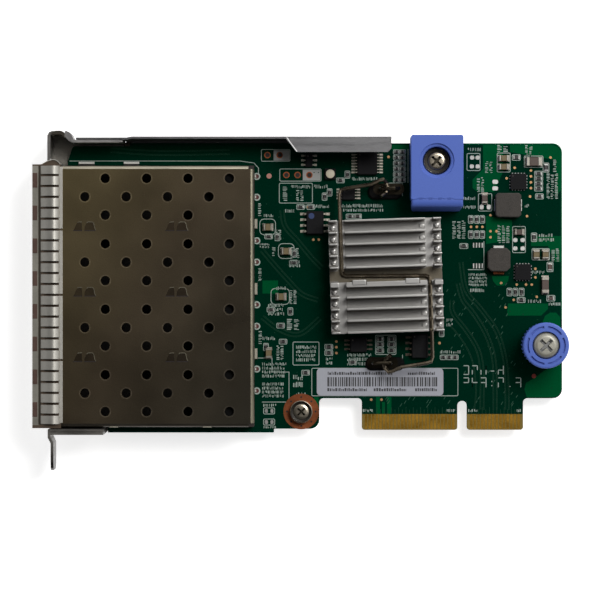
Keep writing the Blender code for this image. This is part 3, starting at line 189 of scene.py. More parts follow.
FADE_GREY = (0.8, 0.8, 0.8)
# The lid, its stakes and its vent rims carry a painted gradient of light: painted shade towards the rear
# lower corner, painted light towards the front upper side
LID_SHADE_END, LID_LIGHT_END = (-34.1, 0.93), (-94.9, 35.3)
MATERIALS = {
    "mask": finish((0.0001, 0.0198, 0.0102), 0.34, tint=0.28, grain=2600, patch=60, specular=0.0),
    "pour": finish((0.0003, 0.071, 0.022), 0.32, tint=0.15, grain=2600, patch=90, specular=0.0),
    "pour_rim": finish((0.004, 0.13, 0.05), 0.35, tint=0.15, grain=2600, specular=0.05),
    "trace": finish((0.012, 0.045, 0.026), 0.32, grain=2600, specular=0.04),
    "silk": finish((0.31, 0.375, 0.335), 0.6, tint=0.25, grain=4000, bump=0.3),
    "silk_fill": finish((0.31, 0.32, 0.31), 0.6, tint=0.15, grain=4000, bump=0.3),
    "tin": finish((0.6, 0.6, 0.57), 0.6, 0.2, tint=0.08),
    "solder": finish((0.52, 0.52, 0.5), 0.34, 1.0, tint=0.1, grain=3500, bump=0.12),
    "gold": finish((0.33, 0.18, 0.024), 0.36, 1.0, tint=0.18, grain=3000, patch=300, bump=0.3),
    "gold_dot": finish((0.4, 0.23, 0.115), 0.42, 1.0, grain=3000, bump=0.3),
    "copper": finish((0.25, 0.078, 0.033), 0.4, 1.0, patch=400, bump=0.4),
    "pink": finish((0.42, 0.2, 0.16), 0.55, 0.3, tint=0.1, grain=1500.0, bump=0.1),
    "red": finish((0.22, 0.03, 0.02), 0.5, 0.3, tint=0.1, grain=1500.0, bump=0.1),
    # Near black, used as painted shade in holes, open corners and slots
    "hole": finish((0.012, 0.006, 0.005), 0.7, tint=0.15, grain=1500.0, bump=0.1),
    "lid": finish(FADE_GREY, 0.3, 0.95, tint=0.14, grain=3800, patch=55, bump=0.3, spread=0.04,
                  fade=(LID_SHADE_END, LID_LIGHT_END, ((0.072, 0.065, 0.05), (0.14, 0.108, 0.069),
                                              (0.262, 0.207, 0.101)))),
    "stake_shade": finish(FADE_GREY, 0.4, 0.9, tint=0.16, grain=3800, patch=200, bump=0.3, spread=0.05,
                    fade=(LID_SHADE_END, LID_LIGHT_END, ((0.02, 0.0165, 0.012), (0.04, 0.029, 0.018),
                                                (0.078, 0.058, 0.03)))),
    # The bends are one steel in three paints for how the light falls: painted light, a dimmer painted light,
    # and painted shade
    "lit_bend": finish((0.42, 0.385, 0.3), 0.36, 1.0, tint=0.12, bump=0.25),
    "vent_rim_highlight": finish(FADE_GREY, 0.36, 0.95, tint=0.14, grain=3800, spread=0.04,
                       fade=(LID_SHADE_END, LID_LIGHT_END, ((0.09, 0.08, 0.066), (0.18, 0.145, 0.1),
                                                   (0.36, 0.29, 0.16)))),
    "rear_edge": finish((0.19, 0.175, 0.13), 0.4, 1.0, tint=0.12, bump=0.25),
    "shaded_edge": finish((0.05, 0.043, 0.033), 0.45, 0.8, tint=0.15, bump=0.25),
    "cage_shade": finish((0.008, 0.0065, 0.005), 0.7, 0.3, bump=0.3),
    "tab": finish((0.34, 0.32, 0.26), 0.6, 0.3, tint=0.1),
    "red_hole": finish((0.07, 0.012, 0.01), 0.6, grain=1500.0, bump=0.3),
    "rim": finish((0.36, 0.345, 0.3), 0.42, 1.0, tint=0.15, grain=2200, spread=0.05),
    "rim_shade": finish((0.1, 0.06, 0.048), 0.5, 0.6, tint=0.25, grain=900, bump=0.3),
    "tick": finish((0.03, 0.085, 0.055), grain=1500.0, specular=0.1),
    "lead": finish((0.4, 0.375, 0.31), 0.42, 0.4, tint=0.15, grain=3500, bump=0.15),
    "lead_shadowed": finish((0.07, 0.052, 0.036), 0.42, 0.4, tint=0.15, grain=3500, bump=0.15),
    "recess": finish((0.055, 0.048, 0.036), 0.35, 1.0, tint=0.15, bump=0.1),
    "recess_grey_shade": finish((0.2, 0.2, 0.195), 0.4, 0.5, tint=0.15),
    "hollow_shade": finish((0.01, 0.008, 0.005), 0.5, 0.5, bump=0.1),
    "collar": finish((0.49, 0.475, 0.435), 0.54, 1.0, tint=0.1, grain=2200, spread=0.05),
    "collar_shade": finish((0.06, 0.037, 0.02), 0.6, tint=0.3, grain=900, bump=0.1),
    # The bracket's steel is painted darker downwards towards its ear: painted shade
    "bracket": finish(FADE_GREY, 0.36, 0.95, grain=1800, patch=90, bump=0.45, stretch=(1, 5, 1),
                      fade=((-70.0, -2.6), (-70.0, -7.0),
                            ((0.27, 0.257, 0.235), (0.16, 0.15, 0.135), (0.06, 0.056, 0.05)))),
    "bracket_mid": finish((0.17, 0.163, 0.155), 0.4, 0.95, grain=1800, bump=0.3),
    "lit_edge": finish((0.3, 0.29, 0.29), 0.4, 1.0, grain=1800, patch=300, bump=0.3),
    "rail": finish((0.165, 0.165, 0.17), 0.34, 0.95, grain=1500, patch=60, bump=0.4, stretch=(1, 9, 1)),
    "sink": finish((0.42, 0.412, 0.4), 0.36, 1.0, tint=0.07, grain=2600, bump=0.04, stretch=(1, 8, 1),
                   spread=0.02),
    # Darker copies of the heatsink's metal: painted shade on the floors, painted shadow strips and painted
    # shade in the valley
    "sink_floor_shade": finish((0.27, 0.265, 0.255), 0.42, 1.0, tint=0.08, grain=2600, bump=0.04, stretch=(1, 8, 1),
                       spread=0.02),
    "sink_shadow": finish((0.15, 0.142, 0.13), 0.5, 0.8, tint=0.1, grain=2600, bump=0.1, spread=0.02),
    "sink_valley_shade": finish((0.12, 0.105, 0.08), 0.42, 1.0, tint=0.1, grain=2600, bump=0.08, spread=0.02),
    "clip": finish((0.2, 0.165, 0.12), 0.24, 1.0, grain=1800, bump=0.15),
    "anchor": finish((0.06, 0.05, 0.035), 0.18, 1.0, grain=1800, bump=0.15),
    "screw": finish((0.6, 0.57, 0.52), 0.22, 1.0, tint=0.1, bump=0.25),
    "dark_screw": finish((0.38, 0.335, 0.265), 0.3, 1.0, tint=0.15, bump=0.06),
    "cream_screw": finish((0.32, 0.31, 0.265), 0.42, 0.5, tint=0.1, bump=0.35),
    "blue": finish((0.084, 0.147, 0.51), tint=0.05, grain=3500, patch=80, bump=0.35, specular=0.25),
    "chip": finish((0.0075, 0.0075, 0.0085), tint=0.25, grain=4500, bump=0.5, specular=0.09),
    "ferrite": finish((0.052, 0.047, 0.042), 0.65, tint=0.45, grain=3600, patch=900, bump=0.9,
                      specular=0.15),
    "tan": finish((0.145, 0.106, 0.045), tint=0.18, grain=3500, bump=0.4),
    "cap_end": finish((0.33, 0.31, 0.27), 0.4, 0.8, tint=0.15, grain=3500),
    "switch_cap": finish((0.6, 0.545, 0.42), tint=0.08, grain=3500),
    "blue_shade": finish((0.062, 0.11, 0.41), tint=0.05, grain=3500, specular=0.2),
    "bare": finish((0.19, 0.13, 0.024), tint=0.15, bump=0.3, specular=0.2),
    "edge_highlight": finish((0.7, 0.7, 0.7), 0.4, 0.7, tint=0.1),
    "brown": finish((0.07, 0.045, 0.035), grain=3500, bump=0.4),
    "resistor": finish((0.02, 0.018, 0.018), 0.4, grain=3500, bump=0.3),
    "plastic": finish((0.0035, 0.0035, 0.0035), 0.6, bump=0.3, specular=0.06),
    "pad": finish((0.32, 0.32, 0.34), 0.8, tint=0.1, bump=0.4),
    "label": finish((0.36, 0.37, 0.42), tint=0.05, grain=3500),
    "ink": finish((0.036, 0.036, 0.04), 0.55, tint=0.3, grain=6000, bump=0.1),
    "dot": finish((0.008, 0.03, 0.12), tint=0.1, grain=1500.0, bump=0.1),
}
for name, made in MATERIALS.items():
    made.name = name


# Shapes: points in millimetres, faces that each carry a paint number, and one mesh made at the end

def at(outline, level):
    """The outline's points at one height."""
    return [(x, y, level) for x, y in outline]


def arc(x, y, radius, first, last, steps):
    """Points on a circle from one angle to another, in degrees."""
    angles = [math.radians(first + (last - first) * step / steps) for step in range(steps + 1)]
    return [(x + radius * math.cos(angle), y + radius * math.sin(angle)) for angle in angles]


def quarter(radius, steps):
    """The steps of a rounded edge, as (inset from the side, drop from the top)."""
    return [(radius - across, radius - up) for across, up in arc(0, 0, radius, 0, 90, steps)]


def shifted(outline, distance):
    """The outline moved inwards by distance; its points run anticlockwise."""
    result = []
    count = len(outline)
    for i in range(count):
        before, here, after = (Vector(outline[(i + k) % count][:2]) for k in (-1, 0, 1))
        into, out = here - before, after - here
        if into.length < 1e-9 or out.length < 1e-9:
            result.append(tuple(here))
            continue
        into.normalize()
        out.normalize()
        normal = Vector((-into.y, into.x)) + Vector((-out.y, out.x))
        if normal.length < 1e-6:
            normal = Vector((-into.y, into.x))
        normal.normalize()
        stretch = max(0.35, normal.dot(Vector((-into.y, into.x))))
        point = here + normal * (distance / stretch)
        result.append((point.x, point.y))
    return result


def ring_points(x, y, radius, sides):
    return arc(x, y, radius, 0, 360, sides)[:-1]


def centred(x, y, half_wide, half_deep, radius=0.0, steps=3):
    """A rectangle's outline round its middle."""
    return rectangle(x - half_wide, x + half_wide, y - half_deep, y + half_deep, radius, steps)


def rectangle(x0, x1, y0, y1, radius=0.0, steps=3):
    """A rectangle's outline, anticlockwise, with rounded corners."""
    if radius <= 0:
        return [(x0, y0), (x1, y0), (x1, y1), (x0, y1)]
    points = []
    for cx, cy, first in ((x1 - radius, y0 + radius, -90), (x1 - radius, y1 - radius, 0),
                          (x0 + radius, y1 - radius, 90), (x0 + radius, y0 + radius, 180)):
        points += arc(cx, cy, radius, first, first + 90, steps)
    return points


def turned(points, x, y, degrees):
    angle = math.radians(degrees)
    c, s = math.cos(angle), math.sin(angle)
    return [(x + (px - x) * c - (py - y) * s, y + (px - x) * s + (py - y) * c) for px, py in points]


EDGE_EXTRA = 0.03  # a last inset that keeps the top of a rounded edge flat
THINNEST = 1e-4  # the radius that stands for a point on a lathe's axis
SHARP = 32.0  # degrees from which a corner stays sharp


class Shape:
    """Collects solids for one piece."""

    def __init__(self):
        self.points = []
        self.faces = []
        self.paints = []

    def put(self, points, faces, paint=0):
        start = len(self.points)
        self.points += points
        self.faces += [[start + i for i in face] for face in faces]
        self.paints += [paint] * len(faces)

    def loft(self, rings, paint=0, closed=False):
        """Joins rings of equal length; ends are capped unless the loft closes on itself."""
        count = len(rings[0])
        points = [point for ring in rings for point in ring]
        faces = []
        spans = len(rings) if closed else len(rings) - 1
        for i in range(spans):
            a, b = i * count, (i + 1) % len(rings) * count
            for k in range(count):
                n = (k + 1) % count
                faces.append([a + k, a + n, b + n, b + k])
        if not closed:
            faces.append(list(range(count))[::-1])
            faces.append([(len(rings) - 1) * count + k for k in range(count)])
        self.put(points, faces, paint)

    def prism(self, outline, low, high, paint=0, chamfer=0.0, steps=1):
        """An outline raised from low to high, its upper edge rounded by chamfer."""
        rings = [at(outline, low)]
        if chamfer > 0:
            rings += [at(shifted(outline, inset), high - drop) for inset, drop in quarter(chamfer, steps)]
            if steps > 1:
                rings.append(at(shifted(outline, chamfer + EDGE_EXTRA), high))
        else:
            rings.append(at(outline, high))
        self.loft(rings, paint)

    def box(self, x0, x1, y0, y1, low, high, paint=0, chamfer=0.0, radius=0.0):
        x0, x1 = sorted((x0, x1))
        y0, y1 = sorted((y0, y1))
        self.prism(rectangle(x0, x1, y0, y1, radius), low, high, paint, chamfer)

    def lathe(self, profile, x, y, sides=32, paint=0):
        """A profile of (radius, height) turned round the vertical at x, y."""
        rings = [at(ring_points(x, y, max(radius, THINNEST), sides), level) for radius, level in profile]
        self.loft(rings, paint)

    def ring(self, x, y, inner, outer, low, high, sides=20, paint=0):
        section = ((outer, low), (outer, high), (inner, high), (inner, low))
        self.loft([at(ring_points(x, y, radius, sides), level) for radius, level in section], paint,
                  closed=True)

    def disc(self, x, y, radius, low, high, sides=16, paint=0):
        self.prism(ring_points(x, y, radius, sides), low, high, paint)

    def strip(self, path, wide, low, high, paint=0, closed=False):
        """A flat ribbon along a path of (x, y) points."""
        count = len(path)
        rings = []
        for i in range(count):
            here = Vector(path[i])
            before = Vector(path[i - 1]) if i or closed else here
            after = Vector(path[(i + 1) % count]) if i < count - 1 or closed else here
            into, out = (here - before).normalized(), (after - here).normalized()
            into = into if into.length else out
            out = out if out.length else into
            normal = Vector((-into.y, into.x)) + Vector((-out.y, out.x))
            normal.normalize()
            reach = wide / 2 / max(0.4, normal.dot(Vector((-into.y, into.x))))
            left, right = here + normal * reach, here - normal * reach
            rings.append([(*left, low), (*right, low), (*right, high), (*left, high)])
        self.loft(rings, paint, closed)

    def tube(self, path, radius, sides=12, paint=0):
        """A round wire along a path of (x, y, z) points."""
        rings = []
        up = Vector((0, 0, 1))
        count = len(path)
        for i in range(count):
            ahead = Vector(path[min(i + 1, count - 1)]) - Vector(path[max(i - 1, 0)])
            ahead.normalize()
            side = ahead.cross(up)
            side = side.normalized() if side.length > 1e-3 else Vector((1, 0, 0))
            top = side.cross(ahead).normalized()
            ring = []
            for k in range(sides):
                angle = 2 * math.pi * k / sides
                point = Vector(path[i]) + (side * math.cos(angle) + top * math.sin(angle)) * radius
                ring.append(tuple(point))
            rings.append(ring)
        self.loft(rings, paint)

    def slab(self, outline, holes, low, high, paint=0, lip=0.0):
        """A plate with round holes (x, y, radius, sides); each hole's upper edge is eased by lip."""
        def tiles(extra):
            loops = [outline] + [ring_points(x, y, radius + extra, sides) for x, y, radius, sides in holes]
            points = [Vector(point) for loop in loops for point in loop]
            rings, start = [], 0
            for loop in loops:
                rings.append(list(range(start, start + len(loop))))
                start += len(loop)
            made, _, faces, origin, _, owners = delaunay_2d_cdt(points, [], rings, 1, 1e-7)
            kept = [face for face, owner in zip(faces, owners) if owner == [0]]
            place = {old: new for new, olds in enumerate(origin) for old in olds}
            return [tuple(point) for point in made], kept, [[place[i] for i in ring] for ring in rings]

        upper, upper_faces, upper_rings = tiles(lip)
        lower, lower_faces, lower_rings = tiles(0.0)
        points = at(upper, high) + at(lower, low)
        shift = len(upper)
        faces = [list(face) for face in upper_faces]
        faces += [[shift + i for i in face][::-1] for face in lower_faces]
        for index, (top, bottom) in enumerate(zip(upper_rings, lower_rings)):
            if index and lip > 0:
                x, y, radius, sides = holes[index - 1]
                start = len(points)
                points += at(ring_points(x, y, radius, sides), high - lip)
                mid = list(range(start, start + sides))
                walls = ((top, mid), (mid, [shift + i for i in bottom]))
            else:
                walls = ((top, [shift + i for i in bottom]),)
            for first, second in walls:
                count = len(first)
                for k in range(count):
                    n = (k + 1) % count
                    faces.append([first[k], first[n], second[n], second[k]])
        self.put(points, faces, paint)

    def make(self, name, paints, slot, body="card", replaces=()):
        mesh = bpy.data.meshes.new(name)
        mesh.from_pydata([(x * MM, y * MM, z * MM) for x, y, z in self.points], [], self.faces)
        for paint in paints:
            mesh.materials.append(MATERIALS[paint])
        mesh.polygons.foreach_set("material_index", self.paints)
        cleaner = bmesh.new()
        cleaner.from_mesh(mesh)
        bmesh.ops.recalc_face_normals(cleaner, faces=cleaner.faces)
        cleaner.to_mesh(mesh)
        cleaner.free()
        smooth(mesh)
        made = bpy.data.objects.new(name, mesh)
        bpy.context.scene.collection.objects.link(made)
        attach(made, body)
        if replaces:
            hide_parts(*replaces)
        return made


def smooth(mesh):
    """Smooth shading, with the corners kept sharp."""
    mesh.polygons.foreach_set("use_smooth", [True] * len(mesh.polygons))
    mesh.set_sharp_from_angle(angle=math.radians(SHARP))


def carve(made, cutter):
    """Cuts one made piece with another and removes the cutter."""
    step = made.modifiers.new("cut", "BOOLEAN")
    step.object = cutter
    step.operation = "DIFFERENCE"
    step.solver = "EXACT"
    step.material_mode = "TRANSFER"
    bpy.context.view_layer.update()
    result = bpy.data.meshes.new_from_object(made.evaluated_get(bpy.context.evaluated_depsgraph_get()))
    made.modifiers.clear()
    made.data = result
    smooth(result)
    bpy.data.objects.remove(cutter, do_unlink=True)


def dress(node, *paints):
    """Gives a CAD node its better materials, slot by slot; the last paint serves the slots left over."""
    for i, place in enumerate(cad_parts[node].material_slots):
        place.material = MATERIALS[paints[min(i, len(paints) - 1)]]


# Board: pours, traces, silkscreen, pads and small parts, placed by the photograph's pixels

POUR_TOP = BOARD_TOP + 0.012
TRACE_TOP = BOARD_TOP + 0.02
SILK_TOP = BOARD_TOP + 0.03
PAD_TOP = BOARD_TOP + 0.045
LAYER_LOW = BOARD_TOP - 0.04
SILK_LINE, LARGE_LINE = 0.15, 0.2

pours, traces, silk, pads = Shape(), Shape(), Shape(), Shape()
parts = Shape()
PART_PAINTS = ("resistor", "solder", "tan", "brown", "silk")


def pixel_path(points):
    return [spot(*point) for point in points]


def spans(x0, y0, x1, y1):
    """A pixel box as left, right, low and high in millimetres."""
    (left, high), (right, low) = spot(x0, y0), spot(x1, y1)
    return left, right, low, high


def silk_box(x0, y0, x1, y1, radius=0.25):
    silk.strip(rectangle(*spans(x0, y0, x1, y1), radius), SILK_LINE, LAYER_LOW, SILK_TOP, closed=True)


def silk_line(points, wide=SILK_LINE):
    silk.strip(pixel_path(points), wide, LAYER_LOW, SILK_TOP)


def bars(x0, y0, x1, y1, rows=1, upright=False):
    """Rows of short generic strokes where the board carries its small printed marks."""
    left, right, low, high = spans(x0, y0, x1, y1)
    along, across = ((low, high), (left, right)) if upright else ((left, right), (low, high))
    pitch = (across[1] - across[0]) / rows
    for row in range(rows):
        base = across[0] + pitch * (row + 0.14)
        tall = pitch * 0.72
        place = along[0] + 0.05
        while place < along[1] - 0.1:
            height = tall * chance.choice((1.0, 1.0, 0.6, 0.8))
            lift = 0.0 if chance.random() < 0.6 else tall - height
            wide = chance.choice((0.1, 0.12, 0.22))
            start, end = base + lift, base + lift + height
            if upright:
                silk.box(start, end, place, place + wide, LAYER_LOW, SILK_TOP)
            else:
                silk.box(place, place + wide, start, end, LAYER_LOW, SILK_TOP)
            place += wide + chance.choice((0.13, 0.16, 0.3))


STROKES = ((0, 0, 0, 1), (1, 0, 1, 1), (0, 0, 1, 0), (0, 0.5, 1, 0.5), (0, 1, 1, 1), (0, 0, 0, 0.5),
           (1, 0.5, 1, 1))


def large_marks(x0, y0, x1, y1, count):
    """A row of larger generic marks, each of a few plain strokes in its own cell."""
    left, right, low, high = spans(x0, y0, x1, y1)
    pitch = (right - left) / count
    across, tall = pitch * 0.58, high - low
    for i in range(count):
        for u0, v0, u1, v1 in chance.sample(STROKES, 3):
            start = (left + i * pitch + u0 * across, low + v0 * tall)
            end = (left + i * pitch + u1 * across, low + v1 * tall)
            silk.strip((start, end), LARGE_LINE, LAYER_LOW, SILK_TOP)


PASSIVE_HIGH = 0.45


def passive(x, y, long, wide, kind, upright, gap=0.36):
    """A two-terminal part in pixels: body, wrapped ends, solder, pads and its printed outline."""
    cx, cy = spot(x, y)
    half_long, half_wide = long / SCALE / 2, wide / SCALE / 2

    def oriented(u0, u1, v0, v1):
        return (cx + v0, cx + v1, cy + u0, cy + u1) if upright else (cx + u0, cx + u1, cy + v0, cy + v1)

    end = half_long * gap
    for side in (-1, 1):
        u0, u1 = sorted((side * (half_long + 0.12), side * (half_long - end - 0.05)))
        pads.box(*oriented(u0, u1, -half_wide - 0.05, half_wide + 0.05), LAYER_LOW, PAD_TOP, 0)
        u0, u1 = sorted((side * half_long, side * (half_long - end)))
        parts.box(*oriented(u0, u1, -half_wide, half_wide), PAD_TOP, PAD_TOP + PASSIVE_HIGH, 1,
                  chamfer=0.08)
    body, across, high = half_long - end + 0.02, half_wide * 0.96, PASSIVE_HIGH * 0.96
    parts.box(*oriented(-body, body, -across, across), PAD_TOP, PAD_TOP + high, kind, chamfer=0.05)
    u, v = half_long + 0.3, half_wide + 0.24
    frame_line = rectangle(*oriented(-u, u, -v, v), 0.2)
    silk.strip(frame_line, SILK_LINE, LAYER_LOW, SILK_TOP, closed=True)


def solder_pad(x, y, wide, tall, radius=0.34):
    """A bare pad with a low cushion of solder on it."""
    cx, cy = spot(x, y)
    hx, hy = wide / SCALE / 2, tall / SCALE / 2
    radius = min(radius, hx * 0.9, hy * 0.9)
    pads.prism(centred(cx, cy, hx, hy, radius), LAYER_LOW, PAD_TOP + 0.03, 0, chamfer=0.05)


def dot(x, y, radius, paint):
    pads.disc(*spot(x, y), radius, LAYER_LOW, PAD_TOP, 12, paint)


# Filled copper under the mask, as pixel outlines
POURS = (
    ((524.4, 389.5), (526, 383), (536, 377), (545, 370), (561.3, 362), (561.3, 389.1), (560.2, 393.3),
     (557.2, 396.4), (553, 397.5), (527, 397.6)),
    ((507, 315.6), (541, 315.6), (548, 309), (548, 303.5), (508, 303.5)),
    ((541.5, 325), (545, 316), (550, 312.6), (556, 312.6), (560, 317), (561.2, 332), (552, 327)),
    ((483, 145), (503, 145), (503, 172), (494, 192), (478, 192), (472.6, 188), (472.6, 179.6), (483, 169)),
    ((510, 145), (553, 145), (558, 147), (561, 152), (561, 190), (556, 196), (556, 160), (510, 152)),
    ((492, 276), (509, 276), (508, 281), (504, 285.5), (497, 285.5), (493, 281)),
    ((262.5, 280.5), (278, 280.5), (278, 293.5), (262.5, 293.5)),
    ((376, 396.6), (380, 396.6), (380, 413.8), (376, 413.8)),
    ((382, 402), (385, 402), (385, 413.8), (382, 413.8)),
    ((387, 396.6), (391.4, 396.6), (391.4, 413.8), (387, 413.8)),
    ((531, 236), (561, 236), (561, 262), (555, 262), (548, 246), (531, 246)),
    ((486, 216), (512, 220), (512, 240), (486, 244)),
    ((314, 397), (318.6, 397), (318.6, 410), (314, 404)),
    ((392, 145), (409, 145), (409, 150), (392, 150)),
)
for points in POURS:
    outline = pixel_path(points)
    area = sum(a[0] * b[1] - b[0] * a[1] for a, b in zip(outline, outline[1:] + outline[:1]))
    pours.prism(outline if area > 0 else outline[::-1], LAYER_LOW, POUR_TOP)


def curve(points, steps=6):
    """A smooth path that passes through the points."""
    result = []
    count = len(points)
    for i in range(count - 1):
        p = [Vector(points[min(max(i + k, 0), count - 1)]) for k in (-1, 0, 1, 2)]
        for step in range(steps):
            t = step / steps
            point = 0.5 * ((2 * p[1]) + (p[2] - p[0]) * t + (2 * p[0] - 5 * p[1] + 4 * p[2] - p[3]) * t * t
                           + (3 * p[1] - p[0] - 3 * p[2] + p[3]) * t ** 3)
            result.append(tuple(point))
    result.append(tuple(points[-1]))
    return result


PAIR_GAP, TRACE_WIDE = 0.11, 0.1


def bundle(points, count, pitch):
    """Parallel traces beside a middle line given in pixels; the lines run in pairs."""
    path = curve(pixel_path(points))
    for i in range(count):
        offset = (i // 2 - (count / 2 - 1) / 2) * pitch + (PAIR_GAP if i % 2 else -PAIR_GAP)
        moved = []
        for k, point in enumerate(path):
            ahead = Vector(path[min(k + 1, len(path) - 1)]) - Vector(path[max(k - 1, 0)])
            ahead.normalize()
            moved.append((point[0] - ahead.y * offset, point[1] + ahead.x * offset))
        traces.strip(moved, TRACE_WIDE, LAYER_LOW, TRACE_TOP)


# Middle lines of the trace bundles in pixels, each with its number of traces and the pitch of its pairs
BUNDLES = (
    (((452, 300), (453, 313), (466, 330), (478, 350), (482, 372), (482, 398), (482, 410)), 4, 0.75),
    (((458, 283), (463, 300), (474, 314), (487, 336), (494, 360), (495, 390), (495, 410)), 4, 0.75),
    (((461, 262), (466, 290), (481, 309), (497, 332), (505, 360), (507, 390), (507, 410)), 4, 0.75),
    (((444, 320), (456, 332), (468, 350), (474, 368), (476, 392), (474, 410)), 2, 0.7),
    (((282, 210), (285, 226), (297, 240), (312, 258), (322, 268)), 4, 0.8),
    (((262, 250), (272, 262), (288, 280), (302, 294), (318, 300)), 4, 0.8),
    (((262, 317), (280, 330), (300, 334), (320, 318)), 4, 0.8),
    (((110, 150), (160, 153), (230, 152)), 4, 0.9),
)
for points, count, pitch in BUNDLES:
    bundle(points, count, pitch)

# Printed outlines in pixels, as x0, y0, x1, y1
OUTLINES = (
    (311.8, 368.2, 457.9, 395.8), (261.4, 149.5, 290, 161.2), (279.8, 168.9, 321.1, 181.1),
    (279.3, 183.2, 312.4, 203), (375.5, 335.2, 396, 354.5), (293, 342, 319, 365),
    (467, 153.5, 480, 170.5), (497.2, 153, 510.2, 172), (524.3, 156, 543, 167.3),
    (263.6, 407.9, 274.6, 413.9), (263.6, 419, 274.6, 425), (478.4, 193.7, 491.8, 211),
    (512.6, 226.5, 525.4, 252.6), (532, 248.6, 549.4, 260),
)
ROUND_OUTLINES = ((259.8, 219, 275.5, 234.7), (278.4, 243.6, 294.2, 258.4), (271, 288.4, 289.4, 304.4))
LINES = (
    ((402.5, 196), (402.5, 183), (388, 183)),
    ((402.5, 354.5), (402.5, 365)),
    ((483.9, 241.4), (483.9, 269.6), (468, 269.6)),
    ((258, 358), (272, 358), (272, 372), (289, 372), (289, 402), (262, 402)),
    ((69.5, 161), (240, 161), (254, 163), (258.5, 168), (258.5, 174)),
    ((408, 149), (408, 183)),
)
for box in OUTLINES:
    silk_box(*box)
for box in ROUND_OUTLINES:
    silk_box(*box, 0.9)
for line in LINES:
    silk_line(line)

# Marks beside the parts in pixels, as x0, y0, x1, y1, rows, 1 where they stand upright
SMALL_MARKS = (
    (467.7, 147.2, 481, 151.8, 1, 0), (496.5, 144.8, 508.6, 152, 2, 1), (524.6, 145.2, 533, 154.5, 2, 1),
    (552.6, 159.5, 557, 172, 1, 1), (484.5, 161, 493, 173, 2, 1), (476.4, 177.6, 484.5, 192, 2, 1),
    (546, 173, 558.4, 199, 3, 1), (463.4, 196, 476, 200.4, 1, 0), (463.4, 205, 476, 209.4, 1, 0),
    (524.6, 203.6, 529, 208, 1, 0), (451.6, 221, 466, 238.8, 3, 1), (497, 225, 510, 243, 3, 1),
    (538.8, 233, 553.4, 242.2, 2, 0), (551, 248.6, 559.6, 261.4, 2, 1), (532, 270, 545, 274.6, 1, 0),
    (468.6, 272.8, 487, 286.6, 4, 0), (470, 288, 484.6, 292.6, 1, 0), (528, 299, 541.4, 303.4, 1, 0),
    (548.6, 302, 560, 306, 1, 0), (325.8, 357, 332.6, 365, 2, 0), (440, 349.8, 462, 354, 1, 0),
    (446.4, 318, 453.8, 326.8, 2, 0), (362.6, 408.6, 372, 412.4, 1, 0), (446.6, 408.6, 456, 412.4, 1, 0),
    (468, 408.6, 477.6, 412.4, 1, 0), (516.6, 408.6, 521.6, 412.4, 1, 0), (282, 186, 288, 201, 1, 1),
    (291, 184.6, 311, 189, 1, 0), (295.6, 190, 304, 201, 2, 1), (314, 184, 328.6, 189, 1, 0),
    (341, 203.4, 384, 208, 1, 0), (343, 208.4, 384, 212, 1, 0), (352, 176.6, 378, 181, 1, 0),
    (285, 208.6, 295, 213, 1, 0), (297.6, 204, 330, 208.6, 1, 0), (263.6, 213.6, 274, 217.6, 1, 0),
    (257.6, 203, 261.8, 216, 1, 1), (274, 229, 281.6, 240, 2, 1), (259.6, 243, 270, 248.4, 2, 0),
    (271.6, 247, 276, 256, 1, 1), (290, 246.6, 300, 258, 2, 1), (289, 260, 299.6, 267.6, 2, 0),
    (257.6, 268, 262, 281, 1, 1), (276, 286, 286, 290.4, 1, 0), (289, 290, 297, 304, 2, 1),
    (268, 303, 284, 316, 3, 0), (286, 318, 300, 330, 2, 1), (258, 331, 262.4, 344, 1, 1),
    (262.4, 336, 276, 340.6, 1, 0), (276, 346, 284, 360, 2, 1), (262, 362, 286, 378, 4, 0),
    (262, 382, 284, 398, 4, 0), (296, 345, 316, 362, 4, 0), (263, 403.4, 277, 407.2, 1, 0),
    (263.4, 425.6, 276, 428.6, 1, 0), (293, 374, 303, 388, 2, 0), (296, 392, 306, 396, 1, 0),
    (347, 352.6, 372, 366, 3, 0),
)
for mark in SMALL_MARKS:
    bars(*mark)

LARGE_MARKS = (
    (463.6, 365.7, 489.7, 374.4, 3), (498.3, 365.7, 507, 374.4, 1), (463.6, 377.8, 489.7, 387.2, 3),
    (498.3, 377.8, 507, 387.2, 1), (515.7, 377.8, 524.4, 387.2, 1),
)
DASHES = ((490.6, 494.2, 371), (491.3, 492.3, 381.4), (491.3, 492.3, 385.6), (509.5, 510.5, 386.4))
for mark in LARGE_MARKS:
    large_marks(*mark)
for x0, x1, y in DASHES:
    silk_line(((x0, y), (x1, y)), LARGE_LINE)

# Small slanting marks of the inner layers in pixels: count, the ranges of x and y, slant, width in
# millimetres, and the corner that the marks leave free
SLANTS = (
    (46, (446, 520), (285, 404), (1.6, 2.6), 0.16, (462, 360)),
    (16, (380, 516), (398.5, 408), (2.2, 3.4), 0.13, (0, 0)),
)
for count, across, down, (run, rise), wide, (free_x, free_y) in SLANTS:
    for _ in range(count):
        x, y = chance.uniform(*across), chance.uniform(*down)
        if y < free_y or x > free_x:
            traces.strip((spot(x, y), spot(x + run, y - rise)), wide, LAYER_LOW, TRACE_TOP, 1)

# The bright rim that the mask leaves along the board's edge
BOARD_RIGHT, BOARD_UPPER, BOARD_CORNER = 33.55, 63.07, 2.0
RIM_IN, RIM_WIDE = 0.12, 0.2
corner = arc(BOARD_RIGHT - BOARD_CORNER, BOARD_UPPER - BOARD_CORNER, BOARD_CORNER - RIM_IN, 90, 0, 6)
rim_x = BOARD_RIGHT - RIM_IN
for path in ([(12.4, BOARD_UPPER - RIM_IN), *corner, (rim_x, 24.4)], [(rim_x, 13.0), (rim_x, 9.0)]):
    pours.strip(path, RIM_WIDE, LAYER_LOW, POUR_TOP + 0.004, 1)

